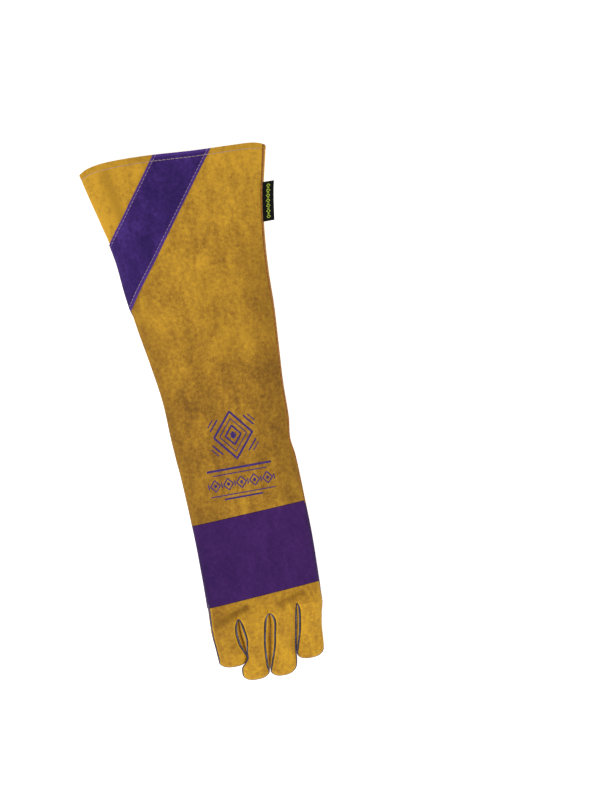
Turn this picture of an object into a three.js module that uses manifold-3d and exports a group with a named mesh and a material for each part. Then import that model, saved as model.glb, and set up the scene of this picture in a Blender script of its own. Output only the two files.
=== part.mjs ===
// Long split-leather work gauntlet for the right hand, lying palm down on a flat surface with its thumb folded under
// the palm. Two ochre suede sleeve panels are joined by welted side seams. A purple band crosses the back of the hand,
// the four fingers have one back panel and four front channels with a welt between them, and the palm side carries
// purple reinforcing patches. Units are millimetres, +Z is up, +Y runs to the hem, +X to the thumb side.
import * as THREE from "three";
import Module from "manifold-3d";
import { mergeVertices } from "three/addons/utils/BufferGeometryUtils.js";

// Lengths along the glove, hem to fingertips
const SLEEVE_LENGTH = 421;
const BAND_LENGTH = 94;
const WEB_LENGTH = 22.5;
const FINGER_LENGTH = 73;

// Widths and heights of the whole glove
const HEM_WIDTH = 216;
const HEM_HEIGHT = 48;
const HAND_WIDTH = 130;
const HAND_HEIGHT = 34;
const HAND_SHIFT = 15; // the hand lies this far to the thumb side of the sleeve's axis
const FINGER_HEIGHT = 25;
const REST_FLATTENING = 3; // how far the underside is pressed flat where it rests

// Leather, welts and clearances
const WALL = 2;
const PATCH = 1.3;
const WELT = 1.5;
const WELT_PROUD = 0.7;
const WELT_DEPTH = 1.2;
const GAP = 0.3;
const SEAM_GAP = 0.45;
const FINGER_GAP = 0.8;

// Thumb
const THUMB_LENGTH = 128;
const THUMB_WIDTH = 32;
const THUMB_HEIGHT = 20;
const TIP_ROUND = 12.5;

// Trim
const STRIPE_WIDTH = 54;
const STRIPE_ANGLE = 36.3; // degrees from the glove's axis
const STRIPE_CORNER = 46; // where its outer edge meets the hem, from the sleeve's axis
const WRIST_PATCH_WIDTH = 93.5;
const WRIST_PATCH_LENGTH = 71;
const WRIST_PATCH_SHIFT = -6.5;
const LABEL_LENGTH = 48;
const LABEL_REACH = 11.5;
const LABEL_THICKNESS = 1.1;
const LABEL_FROM_HEM = 52;

const LENGTH = SLEEVE_LENGTH + BAND_LENGTH + WEB_LENGTH + FINGER_LENGTH;
const HEM_Y = LENGTH / 2;
const WRIST_Y = HEM_Y - SLEEVE_LENGTH;
const KNUCKLE_Y = WRIST_Y - BAND_LENGTH;
const CROTCH_Y = KNUCKLE_Y - WEB_LENGTH;
const HAND_LIFT = THUMB_HEIGHT + PATCH + 3 * GAP;
const SEAM_HALF = WELT / 2 + SEAM_GAP;

// Cross-sections from the hem (station 0) over the wrist seam (1) and knuckle line (2) to the finger crotches (3).
// left and right are shares of the flare between the hand's edge and the hem's, lift is a share of HAND_LIFT, height
// goes from the hand's (0) to the hem's (1), slant is the row's slope across the glove, and the two seam columns are
// how far each side seam is rolled: to the back on the thumb side, to the palm on the little-finger side, in degrees.
const BODY_ROWS = [
  { station: 0.0, left: 1.0, right: 1.0, lift: 0.0, height: 1.0, slant: 0.0, thumbSeam: 12, littleSeam: 12 },
  { station: 0.08, left: 0.88, right: 0.77, lift: 0.0, height: 0.96, slant: 0.0, thumbSeam: 12, littleSeam: 12 },
  { station: 0.16, left: 0.745, right: 0.53, lift: 0.0, height: 0.9, slant: 0.0, thumbSeam: 12, littleSeam: 12 },
  { station: 0.26, left: 0.58, right: 0.325, lift: 0.0, height: 0.82, slant: 0.0, thumbSeam: 12, littleSeam: 12 },
  { station: 0.36, left: 0.505, right: 0.214, lift: 0.0, height: 0.76, slant: 0.0, thumbSeam: 12, littleSeam: 12 },
  { station: 0.46, left: 0.403, right: 0.182, lift: 0.0, height: 0.68, slant: 0.0, thumbSeam: 12, littleSeam: 12 },
  { station: 0.56, left: 0.28, right: 0.09, lift: 0.0, height: 0.58, slant: 0.0, thumbSeam: 12, littleSeam: 12 },
  { station: 0.665, left: 0.172, right: -0.01, lift: 0.0, height: 0.48, slant: 0.0, thumbSeam: 12, littleSeam: 12 },
  { station: 0.765, left: 0.141, right: -0.036, lift: 0.07, height: 0.4, slant: 0.01, thumbSeam: 11, littleSeam: 11 },
  { station: 0.822, left: 0.11, right: -0.13, lift: 0.21, height: 0.34, slant: 0.02, thumbSeam: 10, littleSeam: 9 },
  { station: 0.87, left: 0.074, right: -0.05, lift: 0.3, height: 0.3, slant: 0.032, thumbSeam: 8, littleSeam: 7 },
  { station: 1.0, left: 0.02, right: 0.0, lift: 0.6, height: 0.2, slant: 0.05, thumbSeam: 3, littleSeam: 2 },
  { station: 1.4, left: 0.0, right: 0.03, lift: 1.0, height: 0.05, slant: 0.058, thumbSeam: 3, littleSeam: -1 },
  { station: 2.0, left: 0.009, right: -0.01, lift: 0.97, height: 0.0, slant: 0.07, thumbSeam: 5, littleSeam: -5 },
  { station: 3.0, left: 0.026, right: -0.036, lift: 0.8, height: -0.1, slant: 0.08, thumbSeam: 5, littleSeam: -5 },
];

// The hem's edge in plan: how far each place across it falls short of the highest point, as shares of HEM_WIDTH.
const HEM_EDGE = [
  { across: -1.0, drop: 0.037 },
  { across: -0.9, drop: 0.014 },
  { across: -0.7, drop: 0.0 },
  { across: -0.3, drop: 0.002 },
  { across: 0.25, drop: 0.02 },
  { across: 0.68, drop: 0.027 },
  { across: 0.86, drop: 0.031 },
  { across: 0.96, drop: 0.043 },
  { across: 1.0, drop: 0.056 },
];
const HEM_FADE = 0.22; // share of the sleeve over which the hem's curve dies away

// The lines that bound the fingers, from the crotches (0) to the longest fingertip (1), as shares of HAND_WIDTH from
// the hand's centre line. ringLeft leaves littleRing to close round the little finger's tip.
const LINE_NAMES = ["along", "little", "littleRing", "ringLeft", "ringMiddle", "middleIndex", "index"];
const FINGER_LINES = [
  [0.0, -0.514, -0.254, -0.254, 0.02, 0.27, 0.494],
  [0.15, -0.511, -0.258, -0.258, 0.015, 0.261, 0.477],
  [0.35, -0.504, -0.249, -0.249, -0.008, 0.239, 0.455],
  [0.55, -0.499, -0.238, -0.238, -0.028, 0.211, 0.445],
  [0.64, -0.497, -0.236, -0.2415, -0.039, 0.2, 0.441],
  [0.7, -0.494, -0.236, -0.268, -0.046, 0.194, 0.438],
  [0.76, -0.49, -0.236, -0.3, -0.053, 0.189, 0.436],
  [0.85, -0.485, -0.236, -0.309, -0.062, 0.178, 0.43],
  [1.0, -0.477, -0.236, -0.312, -0.067, 0.16, 0.423],
].map((row) => Object.fromEntries(LINE_NAMES.map((name, i) => [name, row[i]])));

// Each finger: its two lines, its length as a share of FINGER_LENGTH, how far its seams lie inside its sides, as
// shares of FINGER_HEIGHT, and the shares of its length over which they open out from the crotches.
const FINGERS = [
  {
    name: "little",
    left: "little",
    right: "littleRing",
    reach: 0.735,
    leftSeam: 0.075,
    rightSeam: 0.18,
    leftOpen: 0.3,
    rightOpen: 0.32,
  },
  {
    name: "ring",
    left: "ringLeft",
    right: "ringMiddle",
    reach: 0.992,
    leftSeam: 0.18,
    rightSeam: 0.24,
    leftOpen: 0.3,
    rightOpen: 0.22,
  },
  {
    name: "middle",
    left: "ringMiddle",
    right: "middleIndex",
    reach: 1.0,
    leftSeam: 0.24,
    rightSeam: 0.11,
    leftOpen: 0.22,
    rightOpen: 0.25,
  },
  {
    name: "index",
    left: "middleIndex",
    right: "index",
    reach: 0.805,
    leftSeam: 0.11,
    rightSeam: 0.03,
    leftOpen: 0.25,
    rightOpen: 0.3,
  },
];

// The fingers' fall from the knuckles to the surface: lift as a share of HAND_LIFT, height from the fingertip's (0) to
// the hand's at the crotches (1).
const FINGER_FALL = [
  { along: 0.0, lift: 0.8, height: 1.0 },
  { along: 0.2, lift: 0.62, height: 0.72 },
  { along: 0.45, lift: 0.32, height: 0.38 },
  { along: 0.7, lift: 0.07, height: 0.1 },
  { along: 0.85, lift: -0.03, height: 0.0 },
  { along: 1.0, lift: -0.03, height: 0.0 },
];

// The thumb's centre line, as shares of THUMB_LENGTH from the point where the wrist seam meets the hand's centre line,
// with its width as a share of THUMB_WIDTH, and its lift and height as shares of THUMB_HEIGHT.
const THUMB_ROWS = [
  { along: 0.0, x: 0.35, y: -0.03, width: 1.2, lift: 0.6, height: 0.9 },
  { along: 0.2, x: 0.31, y: -0.15, width: 1.3, lift: 0.14, height: 1.15 },
  { along: 0.42, x: 0.19, y: -0.34, width: 1.0, lift: 0.0, height: 1.02 },
  { along: 0.62, x: 0.08, y: -0.52, width: 0.92, lift: 0.0, height: 1.0 },
  { along: 0.82, x: 0.005, y: -0.71, width: 1.02, lift: 0.0, height: 1.0 },
  { along: 1.0, x: -0.03, y: -0.885, width: 1.06, lift: 0.0, height: 0.98 },
];

// The bare thenar area that the palm patch leaves for the thumb, clockwise, as shares of HAND_WIDTH from the point
// where the wrist seam meets the hand's centre line.
const THENAR = [
  { x: 0.2, y: 0.06 },
  { x: 0.17, y: -0.13 },
  { x: 0.125, y: -0.235 },
  { x: 0.15, y: -0.345 },
  { x: 0.275, y: -0.335 },
  { x: 0.38, y: -0.27 },
  { x: 0.56, y: -0.23 },
  { x: 0.56, y: 0.06 },
];

// Soft valleys in the leather: from one end to the other, as shares of the half widths (across) and stations (along),
// with their half width and depth as shares of HAND_HEIGHT. Those with side 1 are on the back, -1 on the palm.
const VALLEYS = [
  { side: 1, fromAcross: -0.74, fromStation: 0.03, toAcross: -0.72, toStation: 0.2, halfWidth: 0.36, depth: 0.1 },
  { side: 1, fromAcross: 0.1, fromStation: 0.36, toAcross: 0.3, toStation: 0.62, halfWidth: 0.8, depth: 0.05 },
  { side: 1, fromAcross: -0.3, fromStation: 0.5, toAcross: -0.1, toStation: 0.8, halfWidth: 0.6, depth: 0.05 },
  { side: 1, fromAcross: 1.0, fromStation: 0.8, toAcross: 0.45, toStation: 0.86, halfWidth: 0.4, depth: 0.1 },
  { side: 1, fromAcross: -1.0, fromStation: 2.75, toAcross: -0.3, toStation: 2.2, halfWidth: 0.2, depth: 0.09 },
  { side: 1, fromAcross: 0.35, fromStation: 2.3, toAcross: 0.62, toStation: 2.15, halfWidth: 0.2, depth: 0.06 },
  { side: -1, fromAcross: 0.5, fromStation: 1.85, toAcross: 0.95, toStation: 1.7, halfWidth: 0.16, depth: 0.08 },
];

// Squareness of the cross-sections: 2 is an ellipse, more is boxier
const BACK_ROUND = 2.3;
const UNDER_ROUND = 3.2;
const FINGER_ROUND = 2.35;
const CROTCH_ROUND = 4.5; // the fingers begin flat-backed
const OUTER_SEAM_START = 5; // how far up a finger's outer side its seam begins, in degrees
const INNER_SEAM_START = 20;
const CROTCH_SHAPE = 0.7; // how quickly the inner seams part: 1 is a narrow V, less a rounder U
const TIP_SHAPE = 2.5;

const DEG = Math.PI / 180;
const SUEDE = 0xb8862b;
const PURPLE = 0x45226b;
const SLATE = 0x4a4a52;

const clamp = (v, low, high) => Math.min(high, Math.max(low, v));
const mix = (a, b, t) => a + (b - a) * t;
const smooth = (t) => {
  const c = clamp(t, 0, 1);
  return c * c * (3 - 2 * c);
};
const range = (count) => Array.from({ length: count }, (_, i) => i);
const between = (from, to, count) => range(count + 1).map((i) => mix(from, to, i / count));

// Every column of a table at one value of its first column, on a smooth curve through the rows.
function rowAt(rows, key, at, place = (row) => row[key]) {
  const last = rows.length - 1;
  const t = clamp(at, Math.min(place(rows[0]), place(rows[last])), Math.max(place(rows[0]), place(rows[last])));
  let k = 0;
  while (k < last - 1 && Math.sign(place(rows[1]) - place(rows[0])) * (t - place(rows[k + 1])) > 0) k += 1;
  const [a, b] = [rows[k], rows[k + 1]];
  const [before, after] = [rows[Math.max(k - 1, 0)], rows[Math.min(k + 2, last)]];
  const span = place(b) - place(a);
  const s = (t - place(a)) / span;
  const found = {};
  for (const name of Object.keys(a)) {
    if (typeof a[name] !== "number") continue;
    const slopeA = ((b[name] - before[name]) / (place(b) - place(before))) * span;
    const slopeB = ((after[name] - a[name]) / (place(after) - place(a))) * span;
    const s2 = s * s;
    const s3 = s2 * s;
    found[name] =
      (2 * s3 - 3 * s2 + 1) * a[name] +
      (s3 - 2 * s2 + s) * slopeA +
      (3 * s2 - 2 * s3) * b[name] +
      (s3 - s2) * slopeB;
  }
  return found;
}

function stationY(station) {
  if (station <= 1) return mix(HEM_Y, WRIST_Y, station);
  if (station <= 2) return mix(WRIST_Y, KNUCKLE_Y, station - 1);
  return mix(KNUCKLE_Y, CROTCH_Y, station - 2);
}

// A cross-section of the sleeve or hand at a station. Angle 0 is its thumb side, 90 degrees the back of the hand.
function bodySection(station) {
  const y = stationY(station);
  const row = rowAt(BODY_ROWS, "station", y, (r) => stationY(r.station));
  const handLeft = HAND_SHIFT - HAND_WIDTH / 2;
  const handRight = HAND_SHIFT + HAND_WIDTH / 2;
  const left = mix(handLeft, -HEM_WIDTH / 2, row.left);
  const right = mix(handRight, HEM_WIDTH / 2, row.right);
  const lift = Math.max(0, row.lift) * HAND_LIFT;
  const bottom = lift - REST_FLATTENING * (1 - smooth(lift / (2 * REST_FLATTENING)));
  const top = lift + mix(HAND_HEIGHT, HEM_HEIGHT, row.height);
  return {
    y,
    station,
    slant: row.slant,
    centre: (left + right) / 2,
    halfWidth: (right - left) / 2,
    middle: (Math.max(bottom, 0) + top) / 2,
    up: (top - Math.max(bottom, 0)) / 2,
    down: (top + Math.max(bottom, 0)) / 2 - bottom,
    widthShrink: 1,
    heightShrink: 1,
    tip: 0,
    room: 1,
    backRound: [BACK_ROUND, BACK_ROUND],
    underRound: UNDER_ROUND,
    hem: Math.pow(clamp(1 - station / HEM_FADE, 0, 1), 2),
    rightSeam: row.thumbSeam * DEG,
    leftSeam: Math.PI + row.littleSeam * DEG,
  };
}

const isOuter = (line) => line === "little" || line === "index";

// A cross-section of a finger, from its crotch (0) to its tip (1).
function fingerSection(finger, along) {
  const reach = finger.reach * FINGER_LENGTH;
  const lines = rowAt(FINGER_LINES, "along", along * finger.reach);
  const fall = rowAt(FINGER_FALL, "along", along);
  const gap = (line) => (isOuter(line) ? 0 : FINGER_GAP / 2);
  const left = HAND_SHIFT + lines[finger.left] * HAND_WIDTH + gap(finger.left);
  const right = HAND_SHIFT + lines[finger.right] * HAND_WIDTH - gap(finger.right);
  const crotch = bodySection(3);
  const tip = clamp(1 - ((1 - along) * reach) / TIP_ROUND, 0, 1);
  const bottom = fall.lift * HAND_LIFT;
  const height = mix(FINGER_HEIGHT, crotch.up * 2, fall.height);
  const halfWidth = (right - left) / 2;
  const closing = 1 - 0.72 * smooth((along - 0.45) / 0.5);
  const rounding = (line) => mix(isOuter(line) ? FINGER_ROUND : CROTCH_ROUND, FINGER_ROUND, smooth(along / 0.34));
  const seamAngle = (line, share, opening) => {
    const opened = Math.pow(smooth(along / opening), isOuter(line) ? 1 : CROTCH_SHAPE) * closing;
    const inset = clamp((share * FINGER_HEIGHT * opened) / halfWidth, 0, 0.6);
    const start = isOuter(line) ? OUTER_SEAM_START : mix(INNER_SEAM_START, 0, smooth(along / 0.34));
    return Math.max(start * DEG, Math.acos(Math.pow(1 - inset, rounding(line) / 2)));
  };
  return {
    y: CROTCH_Y - along * reach,
    station: 3 + along,
    slant: crotch.slant * (1 - along),
    centre: (left + right) / 2,
    halfWidth,
    middle: bottom + height / 2,
    up: height / 2,
    down: height / 2,
    widthShrink: Math.pow(1 - Math.pow(tip, TIP_SHAPE), 1 / TIP_SHAPE),
    heightShrink: Math.pow(1 - Math.pow(tip, TIP_SHAPE), 1 / TIP_SHAPE),
    tip,
    room: mix(1.5, 1, smooth(along / 0.16)),
    backRound: [rounding(finger.left), rounding(finger.right)],
    underRound: FINGER_ROUND,
    hem: 0,
    rightSeam: seamAngle(finger.right, finger.rightSeam, finger.rightOpen),
    leftSeam: Math.PI - seamAngle(finger.left, finger.leftSeam, finger.leftOpen),
  };
}

// How deep the leather is pressed in at a place of the sleeve or hand.
function valleyDepth(section, x, side) {
  const y = section.y;
  let depth = 0;
  for (const v of VALLEYS) {
    if (v.side !== side) continue;
    const ends = [
      [v.fromAcross, v.fromStation],
      [v.toAcross, v.toStation],
    ].map(([across, station]) => {
      const s = bodySpine(station);
      return [s.centre + across * s.halfWidth, s.y];
    });
    const [dx, dy] = [ends[1][0] - ends[0][0], ends[1][1] - ends[0][1]];
    const t = clamp(((x - ends[0][0]) * dx + (y - ends[0][1]) * dy) / (dx * dx + dy * dy), 0, 1);
    const away = Math.hypot(x - ends[0][0] - t * dx, y - ends[0][1] - t * dy);
    depth += v.depth * HAND_HEIGHT * (1 - smooth(away / (v.halfWidth * HAND_HEIGHT)));
  }
  return depth;
}

const spines = new Map();
function bodySpine(station) {
  if (!spines.has(station)) spines.set(station, bodySection(station));
  return spines.get(station);
}

const power = (value, exponent) => Math.sign(value) * Math.pow(Math.abs(value), exponent);

// The point of a cross-section at an angle, a depth inside its outer surface.
function loopPoint(section, angle, depth = 0) {
  const [c, s] = [Math.cos(angle), Math.sin(angle)];
  const exponent = 2 / (s >= 0 ? section.backRound[c >= 0 ? 1 : 0] : section.underRound);
  const x = section.centre + section.widthShrink * (section.halfWidth - depth) * power(c, exponent);
  const pressed = section.station < 3 ? valleyDepth(section, x, s >= 0 ? 1 : -1) * Math.abs(s) : 0;
  const half = section.heightShrink * ((s >= 0 ? section.up : section.down) - depth);
  const z = section.middle + half * power(s, exponent) - Math.sign(s) * pressed;
  const across = clamp((x - section.centre) / section.halfWidth, -1, 1);
  const drop = section.hem ? rowAt(HEM_EDGE, "across", across).drop * HEM_WIDTH * section.hem : 0;
  const y = section.y - drop + section.slant * (x - HAND_SHIFT) + section.tip * section.tip * depth;
  return [x, y, Math.max(z, depth, 0)];
}

// The angle whose chord from another angle is a given distance, turning up (sign 1) or down (-1) in angle.
function angleBeside(section, angle, distance, sign) {
  const [x0, , z0] = loopPoint(section, angle);
  let [low, high] = [0, 80 * DEG];
  for (const _ of range(30)) {
    const guess = (low + high) / 2;
    const [x, , z] = loopPoint(section, angle + sign * guess);
    if (Math.hypot(x - x0, z - z0) < distance) low = guess;
    else high = guess;
  }
  return angle + sign * low;
}

// Angles from one to another that space points evenly round a cross-section.
function evenAngles(section, from, to, count) {
  const fine = between(from, to, 60);
  const points = fine.map((a) => loopPoint(section, a));
  const run = [0];
  for (const i of range(60)) {
    run.push(run[i] + Math.hypot(points[i + 1][0] - points[i][0], points[i + 1][2] - points[i][2]));
  }
  return range(count + 1).map((k) => {
    const want = (run[60] * k) / count;
    let i = 0;
    while (i < 59 && run[i + 1] < want) i += 1;
    const share = run[i + 1] > run[i] ? (want - run[i]) / (run[i + 1] - run[i]) : 0;
    return mix(fine[i], fine[i + 1], share);
  });
}

// A closed solid from a sheet of cells: each cell names its corners, and faces() gives both positions of a corner.
// The sheet's free edges are closed, so the sheet may have slits, holes and poles.
function thicken(cells, faces) {
  const position = [];
  const index = [];
  const edges = new Map();
  const ids = new Map();
  const idOf = (corner, layer) => {
    const key = corner + "/" + layer;
    if (!ids.has(key)) {
      ids.set(key, position.length / 3);
      position.push(...faces(corner)[layer]);
    }
    return ids.get(key);
  };
  for (const cell of cells) {
    const ring = cell.filter((c, i) => c !== cell[(i + 1) % cell.length]);
    if (ring.length < 3) continue;
    for (const i of range(ring.length - 2)) {
      index.push(idOf(ring[0], 0), idOf(ring[i + 1], 0), idOf(ring[i + 2], 0));
      index.push(idOf(ring[0], 1), idOf(ring[i + 2], 1), idOf(ring[i + 1], 1));
    }
    ring.forEach((c, i) => {
      const next = ring[(i + 1) % ring.length];
      if (!edges.delete(next + ">" + c)) edges.set(c + ">" + next, [c, next]);
    });
  }
  for (const [a, b] of edges.values()) {
    index.push(idOf(a, 0), idOf(a, 1), idOf(b, 1), idOf(a, 0), idOf(b, 1), idOf(b, 0));
  }
  return new THREE.BufferGeometry()
    .setAttribute("position", new THREE.Float32BufferAttribute(position, 3))
    .setIndex(index);
}

// A sheet of rows by columns, with pointAt(row, column, layer) for its outer (0) and inner (1) faces.
function slab(rows, columns, pointAt) {
  const cells = [];
  for (const i of range(rows)) {
    for (const j of range(columns)) {
      cells.push([`${i},${j}`, `${i + 1},${j}`, `${i + 1},${j + 1}`, `${i},${j + 1}`]);
    }
  }
  const corners = new Map();
  return thicken(cells, (corner) => {
    if (!corners.has(corner)) {
      const [i, j] = corner.split(",").map(Number);
      corners.set(corner, [pointAt(i, j, 0), pointAt(i, j, 1)]);
    }
    return corners.get(corner);
  });
}

// A closed solid through rings of equally many points, with flat ends.
function loft(rings) {
  const count = rings[0].length;
  const position = rings.flat(2);
  const index = [];
  const at = (i, j) => i * count + (j % count);
  for (const i of range(rings.length - 1)) {
    for (const j of range(count)) {
      index.push(at(i, j), at(i, j + 1), at(i + 1, j + 1), at(i, j), at(i + 1, j + 1), at(i + 1, j));
    }
  }
  const end = rings.length - 1;
  for (const j of range(count - 2)) {
    index.push(at(0, 0), at(0, j + 2), at(0, j + 1), at(end, 0), at(end, j + 1), at(end, j + 2));
  }
  return new THREE.BufferGeometry()
    .setAttribute("position", new THREE.Float32BufferAttribute(position, 3))
    .setIndex(index);
}

const wasm = await Module();
wasm.setup();

function toSolid(geometry) {
  const bare = geometry.clone();
  bare.deleteAttribute("normal");
  bare.deleteAttribute("uv");
  const merged = mergeVertices(bare, 1e-4);
  return new wasm.Manifold(
    new wasm.Mesh({
      numProp: 3,
      vertProperties: new Float32Array(merged.attributes.position.array),
      triVerts: new Uint32Array(merged.index.array),
    }),
  );
}

function toGeometry(solid) {
  const mesh = solid.simplify(0.1).getMesh();
  return new THREE.BufferGeometry()
    .setAttribute("position", new THREE.Float32BufferAttribute(mesh.vertProperties, 3))
    .setIndex(Array.from(mesh.triVerts));
}

// The two angles where a panel ends beside the side seams, with room for the welt.
function backEdges(section, clearance = SEAM_HALF) {
  const room = section.room * clearance * (1 - section.tip * section.tip);
  return [
    angleBeside(section, section.leftSeam, room, -1),
    angleBeside(section, section.rightSeam, room, 1),
  ];
}
function underEdges(section, clearance = SEAM_HALF) {
  const room = section.room * clearance * (1 - section.tip * section.tip);
  return [
    angleBeside(section, section.rightSeam, room, -1),
    angleBeside(section, section.leftSeam - 2 * Math.PI, room, 1),
  ];
}

// The rows that all panels and welts share, so that their facets run side by side
const SLEEVE_STATIONS = between(0, 1, 20);
const HAND_STATIONS = between(1, 2, 6);
const WEB_STATIONS = [2, 2.35, 2.7, 3];
const COLUMNS = 16;

// The same rows with the first and last moved in by the room that their neighbours need.
function trimmed(stations, startRoom, endRoom) {
  const last = stations.length - 1;
  return stations.map((station, i) => {
    if (i === 0) return stationBeside(station, startRoom);
    return i === last ? stationBeside(station, -endRoom) : station;
  });
}

// A panel of the sleeve or hand: its stations, its edges beside the seams, and the depths of its two faces.
function bodyPanel(stations, columns, edgesOf, outer = 0, inner = WALL) {
  const sections = stations.map(bodySection);
  const angles = sections.map((s) => {
    const [from, to] = edgesOf(s);
    return evenAngles(s, from, to, columns);
  });
  return slab(stations.length - 1, columns, (i, j, layer) =>
    loopPoint(sections[i], angles[i][j], layer ? inner : outer),
  );
}

// A station a given distance along the glove from another station.
function stationBeside(station, distance) {
  const y = stationY(station) - distance;
  if (y > WRIST_Y) return (HEM_Y - y) / SLEEVE_LENGTH;
  if (y > KNUCKLE_Y) return 1 + (WRIST_Y - y) / BAND_LENGTH;
  return 2 + (KNUCKLE_Y - y) / WEB_LENGTH;
}

function sleeveBack(outer, inner) {
  return bodyPanel(trimmed(SLEEVE_STATIONS, 0, GAP / 2), COLUMNS, backEdges, outer, inner);
}

function sleeveFront(outer, inner) {
  return bodyPanel(trimmed(SLEEVE_STATIONS, 0, SEAM_HALF), COLUMNS, underEdges, outer, inner);
}

function backBand() {
  return bodyPanel(trimmed(HAND_STATIONS, GAP / 2, GAP / 2), COLUMNS, backEdges);
}

// A point between the knuckle line and the crotches, on its way from the hand's form to a finger's root.
function towardsFinger(station, flat, root) {
  const share = Math.pow(clamp(station - 2, 0, 1), 2);
  const shift = stationY(station) - CROTCH_Y;
  return [mix(flat[0], root[0], share), mix(flat[1], root[1] + shift, share), mix(flat[2], root[2], share)];
}

// Rows along a finger, closer together at the crotch and round the tip.
const FINGER_STOPS = [0, 0.05, 0.13, 0.27, 0.45, 0.63, 0.78, 0.87, 0.935, 0.98, 1];

// The back panel of all four fingers: one sheet from the knuckle line, with a slit between each two fingers.
function fingerBacks() {
  const perFinger = 6;
  const webStations = trimmed(WEB_STATIONS, GAP / 2, 0);
  const webRows = webStations.length - 1;
  const total = perFinger * FINGERS.length;
  const webSections = webStations.map(bodySection);
  const webAngles = webSections.map((s) => evenAngles(s, ...backEdges(s), total));
  const fingers = FINGERS.map((finger) =>
    FINGER_STOPS.map((stop) => {
      const section = fingerSection(finger, stop);
      const [from, to] = backEdges(section);
      const at = (angle, depth) => {
        const p = loopPoint(section, angle, depth);
        return [p[0], p[1], p[2] + SEAM_HALF * section.tip * section.tip];
      };
      return { section, at, angles: between(from, to, perFinger) };
    }),
  );
  // At the crotches neighbouring fingers share their corner, so that the sheet runs on from one to the next.
  const crotchPoint = (column, layer) => {
    const f = Math.min(Math.floor(column / perFinger), FINGERS.length - 1);
    const j = column - f * perFinger;
    const row = fingers[f][0];
    const depth = layer ? WALL : 0;
    if (j === 0 && f > 0) {
      const mine = row.at(row.angles[0], 0);
      const other = fingers[f - 1][0].at(fingers[f - 1][0].angles[perFinger], 0);
      return [(mine[0] + other[0]) / 2, (mine[1] + other[1]) / 2, (mine[2] + other[2]) / 2 - depth];
    }
    return row.at(row.angles[j], depth);
  };
  const webPoint = (row, column, layer) => {
    const flat = loopPoint(webSections[row], webAngles[row][column], layer ? WALL : 0);
    return towardsFinger(webStations[row], flat, crotchPoint(column, layer));
  };
  const cells = [];
  const name = (f, i, j) => {
    if (i === 0) return `web,${webRows},${f * perFinger + j}`;
    return i === FINGER_STOPS.length - 1 ? `tip,${f},0` : `finger${f},${i},${j}`;
  };
  for (const i of range(webRows)) {
    for (const j of range(total)) {
      cells.push([`web,${i},${j}`, `web,${i + 1},${j}`, `web,${i + 1},${j + 1}`, `web,${i},${j + 1}`]);
    }
  }
  for (const f of range(FINGERS.length)) {
    for (const i of range(FINGER_STOPS.length - 1)) {
      for (const j of range(perFinger)) {
        cells.push([name(f, i, j), name(f, i + 1, j), name(f, i + 1, j + 1), name(f, i, j + 1)]);
      }
    }
  }
  return thicken(cells, (corner) => {
    const [kind, a, b] = corner.split(",");
    if (kind === "web") return [webPoint(+a, +b, 0), webPoint(+a, +b, 1)];
    const row = kind === "tip" ? fingers[+a][FINGER_STOPS.length - 1] : fingers[+kind.slice(6)][+a];
    const angle = kind === "tip" ? Math.PI / 2 : row.angles[+b];
    return [row.at(angle, 0), row.at(angle, WALL)];
  });
}

// The channel that forms one finger's sides and front.
function fingerFront(finger) {
  const columns = 9;
  const baseGap = finger.name === "ring" || finger.name === "middle" ? SEAM_HALF : GAP / 2;
  const reach = finger.reach * FINGER_LENGTH;
  const rows = FINGER_STOPS.map((stop, i) => {
    const section = fingerSection(finger, i ? stop : baseGap / reach);
    const [from, to] = underEdges(section);
    return { section, angles: evenAngles(section, from, to, columns) };
  });
  const last = FINGER_STOPS.length - 1;
  const cells = [];
  const name = (i, j) => (i === last ? "tip" : `${i},${j}`);
  for (const i of range(last)) {
    for (const j of range(columns)) {
      cells.push([name(i, j), name(i + 1, j), name(i + 1, j + 1), name(i, j + 1)]);
    }
  }
  return thicken(cells, (corner) => {
    const [i, j] = corner === "tip" ? [last, 0] : corner.split(",").map(Number);
    const { section, angles } = rows[i];
    return [0, WALL].map((depth) => {
      const p = loopPoint(section, corner === "tip" ? -Math.PI / 2 : angles[j], depth);
      return [p[0], p[1], Math.max(depth, p[2] - SEAM_HALF * section.tip * section.tip)];
    });
  });
}

// The palm, from the wrist seam to the finger crotches, before the thumb's hole is cut. Towards the crotches its edges
// run over into those of the outer fingers.
function palmSheet(outer = 0, inner = WALL) {
  const stations = trimmed([...HAND_STATIONS, ...WEB_STATIONS.slice(1)], SEAM_HALF, SEAM_HALF);
  const sections = stations.map(bodySection);
  const angles = sections.map((s) => evenAngles(s, ...underEdges(s), COLUMNS));
  const littleRoot = fingerSection(FINGERS[0], 0);
  const indexRoot = fingerSection(FINGERS[FINGERS.length - 1], 0);
  return slab(stations.length - 1, COLUMNS, (i, j, layer) => {
    const depth = layer ? inner : outer;
    const flat = loopPoint(sections[i], angles[i][j], depth);
    if (j === 0) return towardsFinger(stations[i], flat, loopPoint(indexRoot, underEdges(indexRoot)[0], depth));
    if (j === COLUMNS) return towardsFinger(stations[i], flat, loopPoint(littleRoot, underEdges(littleRoot)[1], depth));
    return flat;
  });
}

const vector = (p) => new THREE.Vector3(...p);

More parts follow.
